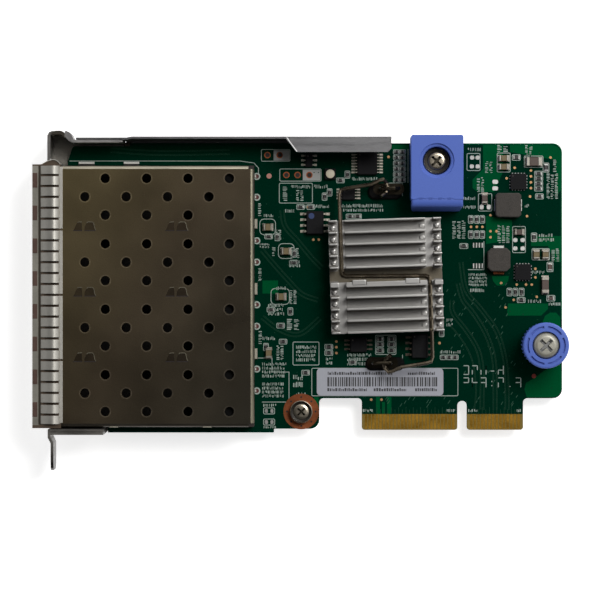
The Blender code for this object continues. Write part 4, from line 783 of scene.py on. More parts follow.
# Two-terminal parts in pixels: length, width, kind (0 black, 2 tan, 3 brown), upright, then their middles
PASSIVES = (
    (5.4, 3.4, 0, False, ((516.3, 157.5),)),
    (6.4, 3.6, 0, True, ((546, 167.6),)),
    (6.6, 3.8, 3, True, ((550, 266.9),)),
    (5.8, 3.2, 0, True, ((534, 237.2),)),
    (5.4, 3.4, 3, False, ((550.8, 298.2),)),
    (5.2, 2.8, 0, False, ((328.8, 346.9), (328.8, 352.9), (521.2, 300), (463.8, 246))),
    (3.6, 2.4, 0, False, ((443.4, 357.3), (449.2, 357.3), (455, 357.3))),
    (5.2, 3, 0, False, ((539.4, 196.4),)),
    (5, 2.6, 0, False, ((300.6, 207), (310.8, 207), (357.6, 216.4), (350, 216.4), (340.4, 180.4),
                        (293.8, 262.6), (268.6, 236.4), (271, 309.6), (280.6, 325.6), (283, 341.6),
                        (305.6, 372.6), (352.6, 362))),
    (4.6, 2.6, 0, True, ((329.6, 192.4), (324.6, 196.6), (347.4, 174.6), (294.4, 253.4), (277.4, 237),
                         (290.4, 311.4), (266, 347))),
    (4.4, 2.4, 0, True, ((441.6, 333),)),
)
for long, wide, kind, upright, middles in PASSIVES:
    for x, y in middles:
        passive(x, y, long, wide, kind, upright)

# Rows of equal parts in pixels: columns, rows, length, width, upright, share of each end
PASSIVE_GRIDS = (
    ((470.8, 476.8, 482.2), (219.4, 234.6), 5, 2.6, True, 0.36),
    ((509.4, 515.4, 521.6), (292,), 5, 2.6, True, 0.36),
    ((380, 391.4), (339, 344.4, 350.4), 4.6, 2.6, False, 0.36),
    ((396.6, 402.4), [152 + row * 5.6 for row in range(6)], 3.6, 2.4, False, 0.42),
    ((538.6,), [173.6 + row * 5 for row in range(4)], 5.4, 2.6, False, 0.36),
)
for columns, rows, long, wide, upright, gap in PASSIVE_GRIDS:
    for x in columns:
        for y in rows:
            passive(x, y, long, wide, 0, upright, gap)

# Bare pads in pixels, as x, y, width, height
PADS = (
    (472.1, 157.6, 4.4, 4.2), (477.6, 157.6, 4.4, 4.2), (471.8, 166.4, 4.4, 4.2),
    (477.6, 166.4, 4.4, 4.2), (495.2, 181.8, 6, 4.4), (495.2, 188.4, 6, 4.4), (481.6, 207, 4.4, 5),
    (488.8, 207, 4.4, 5), (515.2, 240, 4.6, 4.4), (522.6, 240, 4.6, 4.4), (515.2, 248.4, 4.6, 4.4),
    (522.6, 248.4, 4.6, 4.4), (266.3, 410.9, 3.2, 4.2), (266.3, 422, 3.2, 4.2), (271.9, 410.9, 3.2, 4.2),
    (271.9, 422, 3.2, 4.2),
)
for pad in PADS:
    solder_pad(*pad)

# The fine pads in pixels, in two rows
FINE_X, FINE_PITCH, FINE_ROWS = 473.6, 2.9, (245.2, 265.8)
for column in range(4):
    for y in FINE_ROWS:
        solder_pad(FINE_X + column * FINE_PITCH, y, 1.5, 5, 0.05)

# Copper test dots in pixels, then small vias outside the heatsink
DOTS = (
    (530.9, 170.5), (530.9, 176.3), (530.9, 182.3), (530.9, 188.1), (530, 196.4), (506.6, 178.3),
    (514.6, 167.8), (490.5, 215.1), (527, 216.2), (490.5, 231.2), (496.5, 231.2), (490.5, 237.2),
    (471, 226.8), (476.8, 226.8), (482.4, 226.8), (535.4, 268.7), (535.4, 277.4), (501.2, 283),
    (516.8, 284.6), (526, 284.6), (531.7, 284.6), (536.8, 296.8), (513.7, 299.8), (505.6, 307.3),
    (336.4, 341.5), (336.4, 347.2), (336.4, 353), (439.5, 343), (371.2, 399.6), (381.5, 399.6),
    (313.4, 239.6), (318.8, 239.6), (308, 207), (388.6, 156.8), (550.5, 157.5),
)
for x, y in DOTS:
    dot(x, y, 0.29, 1)
VIAS, VIA_X, VIA_Y = 170, (262, 558), (146, 394)
SINK_LEFT, SINK_RIGHT, SINK_UPPER, SINK_LOWER = 308, 460, 210, 396
for _ in range(VIAS):
    x, y = chance.uniform(*VIA_X), chance.uniform(*VIA_Y)
    if not (SINK_LEFT < x < SINK_RIGHT and SINK_UPPER < y < SINK_LOWER):
        dot(x, y, 0.13, 2)

# Printed grounds and plated holes in pixels, the cage's rear pins among them
SILK_FILLS = ((302.8, 320.4, 169.6, 180.4), (273.6, 289.4, 150.2, 160.6))
PLATED_HOLES = ((286.4, 175), (297.6, 175), (309.4, 175), (267.5, 155.1), (279.6, 155.1))
REAR_PIN_X, REAR_TAIL_X = 256.8, 255.2
REAR_PINS = (176.4, 197.2, 240.7, 262.1, 304.7, 326.3, 369, 390.8)
HOLE_INNER, HOLE_FILL = 0.5, 0.52
for x0, x1, y0, y1 in SILK_FILLS:
    silk.box(*spans(x0, y0, x1, y1), LAYER_LOW, SILK_TOP - 0.006, 1)
holes = Shape()
for spots, outer, paint in ((PLATED_HOLES, 0.72, 0), ([(REAR_PIN_X, y) for y in REAR_PINS], 0.78, 2)):
    for x, y in spots:
        holes.ring(*spot(x, y), HOLE_INNER, outer, LAYER_LOW, PAD_TOP, 20, paint)
        # Each opening is filled at the board's top: near black in the plated holes as painted shade, dark red
        # in the pin holes
        holes.disc(*spot(x, y), HOLE_FILL, LAYER_LOW, SILK_TOP + 0.005, 20, paint + 1)
holes.make("plated_holes", ("copper", "hole", "silk", "red_hole"), "board_green")

# Fiducials in pixels, with their radius in millimetres
FIDUCIALS = ((269.1, 176, 0.57), (533.9, 376, 0.5))
marks = Shape()
for paint, (x, y, radius) in enumerate(FIDUCIALS):
    marks.disc(*spot(x, y), radius, LAYER_LOW, PAD_TOP, 24, paint)
marks.make("fiducials", ("pink", "red"), "board_green")

pours.make("copper_pours", ("pour", "pour_rim"), "board_green")
traces.make("copper_traces", ("trace", "tick"), "board_green")
silk.make("silkscreen", ("silk", "silk_fill"), "board_green")
pads.make("solder_pads", ("solder", "gold_dot", "trace"), "board_green")
parts.make("small_parts", PART_PAINTS, "chip_black")

# Card-edge contacts on both faces of both tabs
contacts = Shape()
PITCH = 0.8
CONTACT_TOP, CONTACT_HALF, FEED_HALF = 3.47, 0.29, 0.06
TABS = ((-10.48, 10.48), (12.63, 24.94))
CONTACT_ROWS = ((0.0, 25), (18.785, 14))
for left, right in TABS:
    outline = [(x, min(y, CONTACT_TOP)) for x, y in rectangle(left, right, 0.02, CONTACT_TOP + 1.2, 0.6, 5)]
    contacts.prism(outline, LAYER_LOW, BOARD_TOP + 0.035, 2)
    contacts.prism(outline, BOARD_UNDER - 0.03, BOARD_UNDER + 0.03, 2)
for middle, count in CONTACT_ROWS:
    for i in range(count):
        x = middle + (i - (count - 1) / 2) * PITCH
        outline = rectangle(x - CONTACT_HALF, x + CONTACT_HALF, 0.2, CONTACT_TOP, 0.12)
        contacts.prism(outline, LAYER_LOW, BOARD_TOP + 0.06, 0, chamfer=0.02)
        contacts.prism(outline, BOARD_UNDER - 0.05, BOARD_UNDER + 0.03, 0)
        contacts.box(x - FEED_HALF, x + FEED_HALF, 3.3, 4.5 + (i % 2) * 0.5, LAYER_LOW, TRACE_TOP, 1)
contacts.make("edge_contacts", ("gold", "trace", "bare"), "board_green")

dress("circuit_board", "mask")


# Cage: lid with eased vents, bends, stakes and rear edge

CAGE_FRONT, CAGE_REAR = -82.2, -34.1
CAGE_LOW, CAGE_HIGH = 0.93, 57.84
CAGE_TOP = 10.5
SHEET = 0.3
BEND, BEND_STEPS = 0.75, 6
PORT_PITCH = 14.25
PORTS = 4
middle_y = (CAGE_LOW + CAGE_HIGH) / 2


def port_y(number):
    return middle_y + (number - (PORTS - 1) / 2) * PORT_PITCH


# Vents: three rows of four over each port, the middle row shifted towards the front
VENT_X, VENT_PITCH, VENT_SHIFT = -66.5, 9.0, 4.45
VENT_ROW, VENT_MIDDLE, VENT_RADIUS, VENT_SIDES = 4.0, 0.27, 1.0, 32
lid = Shape()
vents = []
for number in range(PORTS):
    for row in (-1, 0, 1):
        y = port_y(number) + row * VENT_ROW + VENT_MIDDLE
        for column in range(4):
            x = VENT_X + column * VENT_PITCH - (0 if row else VENT_SHIFT)
            vents.append((x, y, VENT_RADIUS, VENT_SIDES))
lid.slab(rectangle(CAGE_FRONT, CAGE_REAR - BEND, CAGE_LOW + BEND, CAGE_HIGH - BEND), vents,
         CAGE_TOP - SHEET, CAGE_TOP, 0, lip=0.12)
# A brighter ring round each vent's eased edge: a painted highlight
for x, y, radius, sides in vents:
    lid.ring(x, y, radius + 0.14, radius + 0.27, CAGE_TOP - 0.05, CAGE_TOP + 0.012, sides, 1)
lid.make("cage_lid", ("lid", "vent_rim_highlight"), "cage_steel", replaces=("cage_cover",))


def bent_edge(shape, start, end, outward, low, paint=0):
    """A quarter bend from the lid's level down into a wall, along the line from start to end."""
    axis, inner = CAGE_TOP - BEND, BEND - SHEET
    section = arc(0.0, axis, BEND, 90, 0, BEND_STEPS) + [(BEND, low), (inner, low)]
    section += arc(0.0, axis, inner, 0, 90, BEND_STEPS)
    rings = []
    for x, y in (start, end):
        rings.append([(x + outward[0] * out, y + outward[1] * out, level) for out, level in section])
    shape.loft(rings, paint)


# Painted light on the upper bend, dimmer painted light on the rear bend, painted shade on the lower bend
walls = Shape()
CAGE_LOW_Z = 0.95
bent_edge(walls, (CAGE_FRONT, CAGE_HIGH - BEND), (CAGE_REAR - 1.25, CAGE_HIGH - BEND), (0, 1), CAGE_LOW_Z)
bent_edge(walls, (CAGE_FRONT, CAGE_LOW + BEND), (CAGE_REAR - 1.2, CAGE_LOW + BEND), (0, -1), CAGE_LOW_Z, 2)
bent_edge(walls, (CAGE_REAR - BEND, CAGE_LOW + 0.8), (CAGE_REAR - BEND, CAGE_HIGH - 0.8), (1, 0),
          CAGE_LOW_Z, 1)
# Near-black boxes fill the bends' open corners: painted shade
for low, high in ((CAGE_LOW + 0.02, CAGE_LOW + 0.75), (CAGE_HIGH - 0.75, CAGE_HIGH - 0.02)):
    walls.box(CAGE_REAR - 1.25, CAGE_REAR - 0.05, low, high, CAGE_LOW_Z, CAGE_TOP - 0.1, 3)
SIDE_TABS, SIDE_TAB_LONG = (-65.64, -45.27), 1.87
for start in SIDE_TABS:
    walls.box(start, start + SIDE_TAB_LONG, CAGE_LOW - 0.1, CAGE_LOW + 0.3, CAGE_TOP - 1.2, CAGE_TOP - 0.35,
              4, chamfer=0.08)
walls.make("cage_walls", ("lit_bend", "rear_edge", "shaded_edge", "hole", "tab"), "cage_steel")

# Stakes through the lid: the two halves of their tongues, painted darker as shade, with painted highlights as
# the bright lines round them and a painted shade line between the halves
stakes = Shape()
STAKE_X = (-71.25, -51.2)
STAKE_LOW, STAKE_TOP = CAGE_TOP - 0.1, CAGE_TOP + 0.04
STAKE_LEFT = (
    (-2.17, 0.05), (-0.22, 0.05), (-0.28, 1.0), (-0.32, 1.86), (-1.0, 1.88), (-1.3, 1.76), (-1.65, 1.2),
    (-1.9, 0.6),
)
STAKE_RIGHT = (
    (0.2, 0.05), (2.7, 0.05), (2.45, 0.5), (2.2, 1.6), (1.95, 1.86), (1.0, 1.88), (0.6, 1.5), (0.3, 0.9),
)
STAKE_LINES = (((-1.3, 1.8), (-1.0, 1.93), (-0.3, 1.93)),
               ((0.7, 1.7), (1.0, 1.93), (1.95, 1.93), (2.25, 1.65), (2.5, 0.5), (2.75, 0.1)))
for number in range(PORTS - 1):
    y = (port_y(number) + port_y(number + 1)) / 2
    for x in STAKE_X:
        for outline in (STAKE_LEFT, STAKE_RIGHT):
            stakes.prism([(x + u, y + v) for u, v in outline], STAKE_LOW, STAKE_TOP, 0, chamfer=0.03)
        for path in STAKE_LINES:
            stakes.strip([(x + u, y + v) for u, v in path], 0.14, STAKE_LOW, STAKE_TOP + 0.02, 2)
        for left, right in ((x - 2.2, x - 0.25), (x + 0.2, x + 2.7)):
            stakes.box(left, right, y - 0.06, y + 0.1, STAKE_LOW, STAKE_TOP + 0.01, 1)
stakes.make("cage_stakes", ("stake_shade", "hole", "rear_edge"), "cage_steel")

# The cage's floor and dividers are painted near black: painted shade inside the ports, seen through the vents
dress("cage_floor", "cage_shade")
for number in (1, 2, 3):
    dress(f"cage_divider_{number}", "cage_shade")
for number in (1, 2, 3, 4):
    dress(f"port_connector_{number}", "plastic")

# Rear tails, side latches and ground tabs of the cage at board level
tails = Shape()
REAR_TAB_X = 257.4
REAR_TABS = ((219, 228.6), (283, 294.6), (348.4, 358.9))
SIDE_LATCHES = ((78.6, 94.5), (123.8, 139.2))
for y in REAR_PINS:
    cx, cy = spot(REAR_TAIL_X, y)
    tails.box(CAGE_REAR - 0.05, cx + 0.25, cy - 0.3, cy + 0.3, BOARD_TOP, BOARD_TOP + 0.35, 0, chamfer=0.08)
for y0, y1 in REAR_TABS:
    _, right, low, high = spans(REAR_TAB_X, y0, REAR_TAB_X, y1)
    tails.box(CAGE_REAR - 0.05, right, low, high, BOARD_TOP, BOARD_TOP + 0.9, 2, chamfer=0.1)
for x0, x1 in SIDE_LATCHES:
    left, right, _, _ = spans(x0, 0, x1, 0)
    tails.box(left, right, CAGE_HIGH + 0.66, CAGE_HIGH + 1.16, BOARD_TOP, BOARD_TOP + 0.3, 1, chamfer=0.06)
    # A near-black strip on the board under each latch: painted shade
    tails.box(left, right, CAGE_HIGH - 0.1, CAGE_HIGH + 0.7, BOARD_TOP, BOARD_TOP + 0.2, 3)
tails.make("cage_tails", ("collar", "tin", "tab", "cage_shade"), "cage_steel")


# Spring collar: arched fingers, lip and bands

COLLAR_FRONT, COLLAR_REAR = -82.35, -76.1
COLLAR_SHEET = 0.15
FINGERS = 24
reach = 0.25
low_y, high_y = CAGE_LOW - reach, CAGE_HIGH + reach
low_z, high_z = PART_LOW - reach, CAGE_TOP + reach


ARCH_REAR, ARCH_LONG = -76.3, 4.2
CREST = [(0.0, 0.0), (0.1, 0.62), (0.3, 1.12), (0.55, 0.98), (0.8, 0.5), (1.0, 0.0)]


def arch():
    """One finger's section as (x, height) points, closed round its own thickness."""
    upper = [(ARCH_REAR - ARCH_LONG * share, COLLAR_SHEET + height) for share, height in curve(CREST, 3)]
    return upper + [(x, height - COLLAR_SHEET) for x, height in reversed(upper)]


# Fingers lie between slots; the slots at the ports' bounds run on through the rear band
SLOT_WIDE, SLOT_PITCH, FIRST_SLOT = 0.52, 2.366, 3.66
FINGER_LOW, FINGER_HIGH = 1.62, 57.76
BAND_FRONT, BAND_REAR = -76.6, -75.75
slots = [FIRST_SLOT + i * SLOT_PITCH for i in range(FINGERS - 1)]
collar = Shape()
section = arch()
for start, end in zip([FINGER_LOW - SLOT_WIDE / 2] + slots, slots + [FINGER_HIGH + SLOT_WIDE / 2]):
    for base, sign in ((high_z - COLLAR_SHEET, 1), (low_z + COLLAR_SHEET, -1)):
        collar.loft([[(x, y, base + sign * height) for x, height in section]
                     for y in (start + SLOT_WIDE / 2, end - SLOT_WIDE / 2)])
SIDE_FINGERS, SIDE_GAP = 4, 0.4
side_pitch = (CAGE_TOP - PART_LOW) / SIDE_FINGERS
for i in range(SIDE_FINGERS):
    start = PART_LOW + i * side_pitch + SIDE_GAP / 2
    end = start + side_pitch - SIDE_GAP
    collar.loft([[(x, high_y - COLLAR_SHEET + height, level) for x, height in section]
                 for level in (start, end)])
# A dark sheet under the side fingers' arch: painted shade beneath it
shade = [(x, height - 0.05) for x, height in section[: len(section) // 2]]
collar.loft([[(x, high_y - COLLAR_SHEET + max(height, 0.0), level) for x, height in shade]
             for level in (1.0, 9.9)], 1)
# A dark plate under the fingers, seen through the slots: painted shade
collar.box(COLLAR_FRONT, COLLAR_REAR, low_y, high_y, high_z - COLLAR_SHEET, high_z - 0.02, 1)
bounds = [FINGER_LOW, slots[5], slots[11], slots[17], FINGER_HIGH]
for start, end in zip(bounds[:-1], bounds[1:]):
    collar.box(BAND_FRONT, BAND_REAR, start + 0.2, end - 0.2, CAGE_TOP - 0.05, high_z + 0.04, 0,
               chamfer=0.05)
collar.box(COLLAR_FRONT, COLLAR_REAR, low_y, high_y, low_z, low_z + COLLAR_SHEET, 0)
# The lower side wall is painted dark: painted shade
collar.box(COLLAR_FRONT, COLLAR_REAR, low_y, low_y + COLLAR_SHEET, low_z, high_z - COLLAR_SHEET, 4)
collar.box(COLLAR_FRONT, COLLAR_REAR, high_y - COLLAR_SHEET, high_y, low_z, high_z - COLLAR_SHEET, 0)

# The turned-in rim, its darker patches of painted shade where the lower lip shows in shadow, and a painted
# shade line where the fingers touch down
RIM_REAR, FOOT_REAR = -81.0, -80.4
collar.box(COLLAR_FRONT, RIM_REAR, FINGER_LOW - 0.3, FINGER_HIGH, high_z - COLLAR_SHEET, high_z + 0.02, 3,
           chamfer=0.06)
collar.box(RIM_REAR, FOOT_REAR, FINGER_LOW - 0.2, FINGER_HIGH, high_z - COLLAR_SHEET, high_z, 4)
for number in range(PORTS):
    y = port_y(number)
    for middle in (y - 3.25, y + 3.85):
        collar.box(COLLAR_FRONT + 0.03, RIM_REAR - 0.25, middle - 1.6, middle + 1.6, high_z - COLLAR_SHEET,
                   high_z + 0.09, 2, chamfer=0.06)
    for start, end in ((y - 7.02, y - 5.2), (y - 1.9, y + 1.9), (y + 5.2, y + 7.02)):
        collar.box(COLLAR_FRONT, COLLAR_FRONT + 1.0, start, end, low_z - 0.44, low_z + COLLAR_SHEET, 0)
collar.make("emi_collar", ("collar", "collar_shade", "rim_shade", "rim", "shaded_edge"), "collar_steel",
            replaces=("spring_collar",))

dress("faceplate_bracket", "bracket")
dress("side_rail", "rail")

# The sheet's rolled corner and the bright edges of bracket and rail as painted highlights, with painted shade
# on the dark roll and in the notch
WALL_TOP = 10.2
WALL_SCALE = 4.594


def high_spot(x, y):
    """The point at the bracket wall's top that shows at a pixel of the photograph."""
    return VIEW_X + (x - PHOTO_MIDDLE) / WALL_SCALE, VIEW_Y + (PHOTO_MIDDLE - y) / WALL_SCALE


# Edges of the bracket in pixels: bright ones with painted highlights, a dark roll with painted shade
NOTCH_EDGE = ((286.8, 137.4), (289.4, 141.2), (297.0, 151.6))
CURL = (
    (64.6, 131.2), (66.4, 130.9), (69.4, 132.2), (71.6, 134.2), (72.8, 137.0), (73.6, 140.2),
    (75.5, 140.4), (75.5, 142.6), (72.0, 142.4), (69.0, 141.2), (66.6, 138.8), (65.2, 135.5),
)
LIT_TOP_EDGE = ((75.4, 140.3), (122.6, 140.3), (122.6, 142.2), (75.4, 142.4))
LEFT_EDGE = ((47.3, 134.5), (49.9, 134.5), (49.9, 160.5), (47.3, 160.5))
TOP_ROLL = (
    (51.2, 133.4), (52.6, 131.8), (55.5, 130.6), (60.5, 130.6), (63.0, 131.6), (64.4, 134.4),
    (64.0, 136.6), (60.0, 134.4), (53.0, 134.8),
)
NOTCH_SHADE = (-62.9, -61.2, 62.2, 63.3, -0.75, 0.2)  # in millimetres
bend = Shape()
for shape, low, paint in ((CURL, 2.0, 0), (LIT_TOP_EDGE, WALL_TOP - 0.6, 0), (LEFT_EDGE, WALL_TOP - 0.6, 3),
                          (TOP_ROLL, 2.0, 1)):
    outline = [high_spot(*point) for point in shape][::-1]
    bend.prism(outline, low, WALL_TOP + 0.04, paint, chamfer=0.04)
bend.box(*NOTCH_SHADE, 1)
bend.strip([high_spot(*point) for point in NOTCH_EDGE], 0.24, WALL_TOP - 0.4, WALL_TOP + 0.02, 2)
bend.make("bracket_bend", ("lit_edge", "shaded_edge", "edge_highlight", "bracket_mid"), "bracket_steel")


# Heatsink: rounded fins on their base, and the finish of its sprung wire

SINK_X, SINK_Y, SINK_TURN = -5.3, 33.88, 1.8
SINK_BASE, SINK_FLOOR, SINK_TOP = 3.2, 5.0, 10.0
sink = Shape()


def sink_box(u0, u1, v0, v1, low, high, chamfer=0.0, radius=0.0, paint=0):
    outline = rectangle(SINK_X + u0, SINK_X + u1, SINK_Y + v0, SINK_Y + v1, radius)
    sink.prism(turned(outline, SINK_X, SINK_Y, SINK_TURN), low, high, paint, chamfer, 2)


SINK_HALF, SINK_DEEP = 12.3, 12.4
# Heights of the painted shadow strips on the floor
SHADE = (SINK_FLOOR - 0.05, SINK_FLOOR + 0.04)
CHANNEL_IN, CHANNEL_OUT = 8.82, 10.42
FINS, FIN, FIN_FIRST, FIN_PITCH, GROOVE = 5, 0.44, 2.0, 2.55, 0.42
PILLARS = (-6.0, 5.6)
sink_box(-SINK_HALF, SINK_HALF, -12.42, 12.42, SINK_BASE, SINK_FLOOR)
# The floors between the fins are painted darker than the fins' tops: painted shade
for v0, v1 in ((1.8, 12.2), (-12.2, -1.8)):
    sink_box(-CHANNEL_IN, CHANNEL_IN, v0, v1, SINK_FLOOR - 0.1, SINK_FLOOR + 0.02, paint=3)
for i in range(FINS):
    middle = FIN_FIRST + i * FIN_PITCH
    lower = (-2.32, -1.22) if i == 0 else (-middle - FIN / 2, -middle + FIN / 2)
    for v0, v1 in ((middle - FIN / 2, middle + FIN / 2), lower):
        sink_box(-CHANNEL_IN, CHANNEL_IN, v0, v1, SINK_FLOOR - 0.05, SINK_TOP, 0.06, 0.15)
        # A painted shadow strip on the floor below each fin
        sink_box(-CHANNEL_IN, CHANNEL_IN, max(v0 - GROOVE, -SINK_DEEP), v0 + 0.05, *SHADE, paint=2)
        for u0, u1 in ((-SINK_HALF, -CHANNEL_OUT), (CHANNEL_OUT, SINK_HALF)):
            sink_box(u0, u1, v0, v1, SINK_FLOOR - 0.05, SINK_TOP, 0.1, 0.2)
            sink_box(u0 + 0.05, u1 - 0.05, max(v0 - 0.5, -SINK_DEEP), min(v1 + 0.35, SINK_DEEP), *SHADE,
                     paint=2)
# Low swellings of the channel's floor between the fins' ends
for i in range(FINS - 1):
    middle = FIN_FIRST + (i + 0.42) * FIN_PITCH
    for v in (middle, -middle - 0.3):
        sink_box(7.5, 8.8, v - 0.42, v + 0.42, SINK_FLOOR - 0.05, SINK_FLOOR + 0.3, 0.2, 0.3)
        for u0, u1 in ((-SINK_HALF + 0.25, -CHANNEL_OUT - 0.3), (CHANNEL_OUT + 0.3, SINK_HALF - 0.25)):
            sink_box(u0, u1, v - 0.55, v + 0.65, SINK_FLOOR - 0.05, SINK_FLOOR + 0.55, 0.4, 0.5)
# The middle valley under the wire is painted darker: painted shade
sink_box(-SINK_HALF + 0.02, SINK_HALF - 0.02, -1.2, 1.76, SINK_FLOOR - 0.1, SINK_FLOOR + 0.03, paint=1)
for u in PILLARS:
    sink_box(u - 1.5, u + 1.5, -1.9, -0.74, SINK_FLOOR - 0.05, SINK_TOP + 0.1, 0.12, 0.2)
    # A painted shadow strip beside each pillar
    sink_box(u + 1.48, u + 1.74, -1.9, -0.8, SINK_FLOOR - 0.05, SINK_TOP + 0.05, paint=2)
sink.make("finned_heatsink", ("sink", "sink_valley_shade", "sink_shadow", "sink_floor_shade"), "sink_aluminium",
          replaces=("heatsink",))

dress("network_controller", "chip")
dress("thermal_pad", "pad")
dress("heatsink_clip", "clip")
for node in ("clip_anchor_upper", "clip_anchor_lower"):
    dress(node, "anchor", "plastic")

# Dark low ovals round the anchors' feet in pixels, as x, y, half width, half depth
ANCHOR_OVALS = ((385.0, 191.8, 17.0, 7.6), (385, 363.6, 19.5, 6.8))
dark_ovals = Shape()
for x, y, half_wide, half_deep in ANCHOR_OVALS:
    outline = centred(*spot(x, y), half_wide / SCALE, half_deep / SCALE, half_deep * 0.9 / SCALE, 6)
    dark_ovals.prism(outline, LAYER_LOW, BOARD_TOP + 0.82, 0, chamfer=0.4, steps=3)
dark_ovals.make("anchor_dark_ovals", ("plastic",), "chip_black")


# Blue parts and screws

def cut_cross(made, x, y, top, cross, paint, body):
    """Sinks a cross recess into a screw's top; its faces take a darker paint, a painted shade in the recess.
    """
    wide = cross * 0.36
    sections = ((cross * 0.55, wide * 0.35, top - 0.7), (cross * 1.05, wide * 0.6, top + 0.3))
    for degrees in (45, 135):
        cutter = Shape()
        cutter.loft([at(turned(centred(x, y, half_long, half_wide), x, y, degrees), level)
                     for half_long, half_wide, level in sections])
        carve(made, cutter.make("cross_cutter", (paint,), "screw_steel", body))


def shank_profile(radius, seat, shank, end):
    return [(0, end), (shank - 0.35, end), (shank, end + 0.4), (shank, seat), (radius, seat)]


def pan_head(name, x, y, seat, radius, thick, shank, end, cross, replaces, paint, recess, body):
    """A pan-head screw with an eased rim and a tapered cross recess."""
    top = seat + thick
    crown = [(radius * (1 - 0.38 * inset), top - thick * 0.75 * drop) for inset, drop in quarter(1, 10)]
    shape = Shape()
    shape.lathe(shank_profile(radius, seat, shank, end) + crown + [(0, top)], x, y, 48)
    made = shape.make(name, (paint,), "screw_steel", body, replaces)
    cut_cross(made, x, y, top, cross, recess, body)


def dished_head(name, x, y, seat, radius, thick, shank, end, cross, replaces):
    """A screw with a bright rim, a hollow ring darkened by a near-black ring set into it as painted shade,
    and a raised middle that carries the cross recess.
    """
    top = seat + thick
    rim, foot, crown = radius - 0.16, radius * 0.7, radius * 0.64
    shape = Shape()
    head = [(radius, top - 0.3), (radius - 0.05, top - 0.1), (rim, top - 0.05), (rim - 0.06, top - 0.2),
            (foot, top - 0.34), (crown + 0.05, top - 0.14), (crown - 0.2, top - 0.03), (crown - 0.5, top),
            (0, top)]
    shape.lathe(shank_profile(radius, seat, shank, end) + head, x, y, 48)
    made = shape.make(name, ("dark_screw",), "screw_steel", "card", replaces)
    cut_cross(made, x, y, top, cross, "recess", "card")
    # A near-black ring in the hollow: painted shade
    hollow = Shape()
    section = ((rim - 0.07, top - 0.19), (foot, top - 0.325), (foot, top - 0.45), (rim - 0.07, top - 0.4))
    hollow.loft([at(ring_points(x, y, out, 48), level) for out, level in section], closed=True)
    hollow.make(name + "_hollow", ("hollow_shade",), "screw_steel")


TOUCH_X, TOUCH_Y = 5.68, 58.9
TOUCH = (0.06, 11.46, 50.48, 64.55)
TOUCH_TOP = 10.2
TOUCH_WELL = (
    (0, -1), (1.5, -1), (1.5, 5.6), (3.0, 5.6), (3.05, 5.65), (3.05, 9.45), (3.2, 9.65), (3.66, 9.7),
    (3.82, 9.85), (3.84, 12), (0, 12),
)
WAVES, WAVE_IN, WAVE_SPAN, WAVE_DEEP, TOUCH_ROUND = 4, 1.15, 2.05, 0.3, 0.5
WAVE_STEPS = 8
touch = Shape()
x0, x1, y0, y1 = TOUCH
outline = [(x0, y0), (x0 + WAVE_IN, y0)]
for i in range(WAVES):
    start = x0 + WAVE_IN + i * WAVE_SPAN
    for step in range(1, WAVE_STEPS + 1):
        share = step / WAVE_STEPS
        outline.append((start + WAVE_SPAN * share, y0 + WAVE_DEEP * math.sin(math.pi * share)))
outline.append((x1, y0))
for cx, first in ((x1 - TOUCH_ROUND, 0), (x0 + TOUCH_ROUND, 90)):
    outline += arc(cx, y1 - TOUCH_ROUND, TOUCH_ROUND, first, first + 90, 4)
touch.prism(outline, PART_LOW, TOUCH_TOP, 0, chamfer=0.1, steps=3)
block = touch.make("touch_block", ("blue",), "touch_blue", replaces=("touch_point",))
cutter = Shape()
cutter.lathe(TOUCH_WELL, TOUCH_X, TOUCH_Y, 64)
carve(block, cutter.make("recess_cutter", ("blue",), "touch_blue"))
ledge = Shape()
LEDGE_FRONT, LEDGE_FOOT, LEDGE_TOP, LEDGE_ROUND = 48.75, 48.05, 10.05, 1.4
rings = [at(rectangle(x0 + 0.3, x1 - 0.3, LEDGE_FOOT, y0 + 1.0, 0.5, 4), 0.95)]
for inset, drop in quarter(LEDGE_ROUND, 6):
    left, right = x0 + 0.03 + inset * 0.3, x1 - 0.03 - inset * 0.3
    rings.append(at(rectangle(left, right, LEDGE_FRONT + inset, y0 + 1.0, 0.4, 4), LEDGE_TOP - drop))
ledge.loft(rings)
# Darker blue bits in the crease under each wave, where block and ledge meet: painted shade
for i in range(WAVES):
    middle = x0 + WAVE_IN + (i + 0.5) * WAVE_SPAN
    ledge.box(middle - 0.4, middle + 0.4, y0 - 0.12, y0 + 0.5, LEDGE_TOP - 0.3, LEDGE_TOP + 0.05, 1,
              chamfer=0.04)
ledge.make("touch_ledge", ("blue", "blue_shade"), "touch_blue")
dished_head("touch_screw", TOUCH_X, TOUCH_Y, 5.7, 2.86, 2.3, 1.2, -3.4, 1.55, ("touch_point_screw",))
dress("touch_point_nut", "screw")

PAD_X, PAD_Y = -23.86, 4.03
PAD_INNER, PAD_OUTER = 1.7, 3.93
ring = Shape()
ring.ring(PAD_X, PAD_Y, PAD_INNER, PAD_OUTER, LAYER_LOW, PAD_TOP + 0.02, 48, 0)
# Eight vias in the ring, as near-black discs of painted shade
for x, y in ring_points(PAD_X, PAD_Y, 3.15, 8):
    ring.disc(x, y, 0.22, PAD_TOP, PAD_TOP + 0.03, 16, 1)
ring.ring(PAD_X, PAD_Y, PAD_INNER, PAD_OUTER, BOARD_UNDER - 0.05, BOARD_UNDER + 0.03, 48, 0)
ring.make("ground_ring", ("copper", "hole"), "board_green")
dished_head("ground_screw", PAD_X, PAD_Y, PART_LOW, 2.5, 1.9, 1.2, -4.2, 1.2, ("pad_screw",))
dress("pad_screw_spacer", "screw")

THUMB_X, THUMB_Y = 29.3, 18.7
KNOB_TOP, KNOB_LOW, KNOB_RADIUS = 13.0, 2.6, 5.0
RIBS, PER_RIB = 36, 6


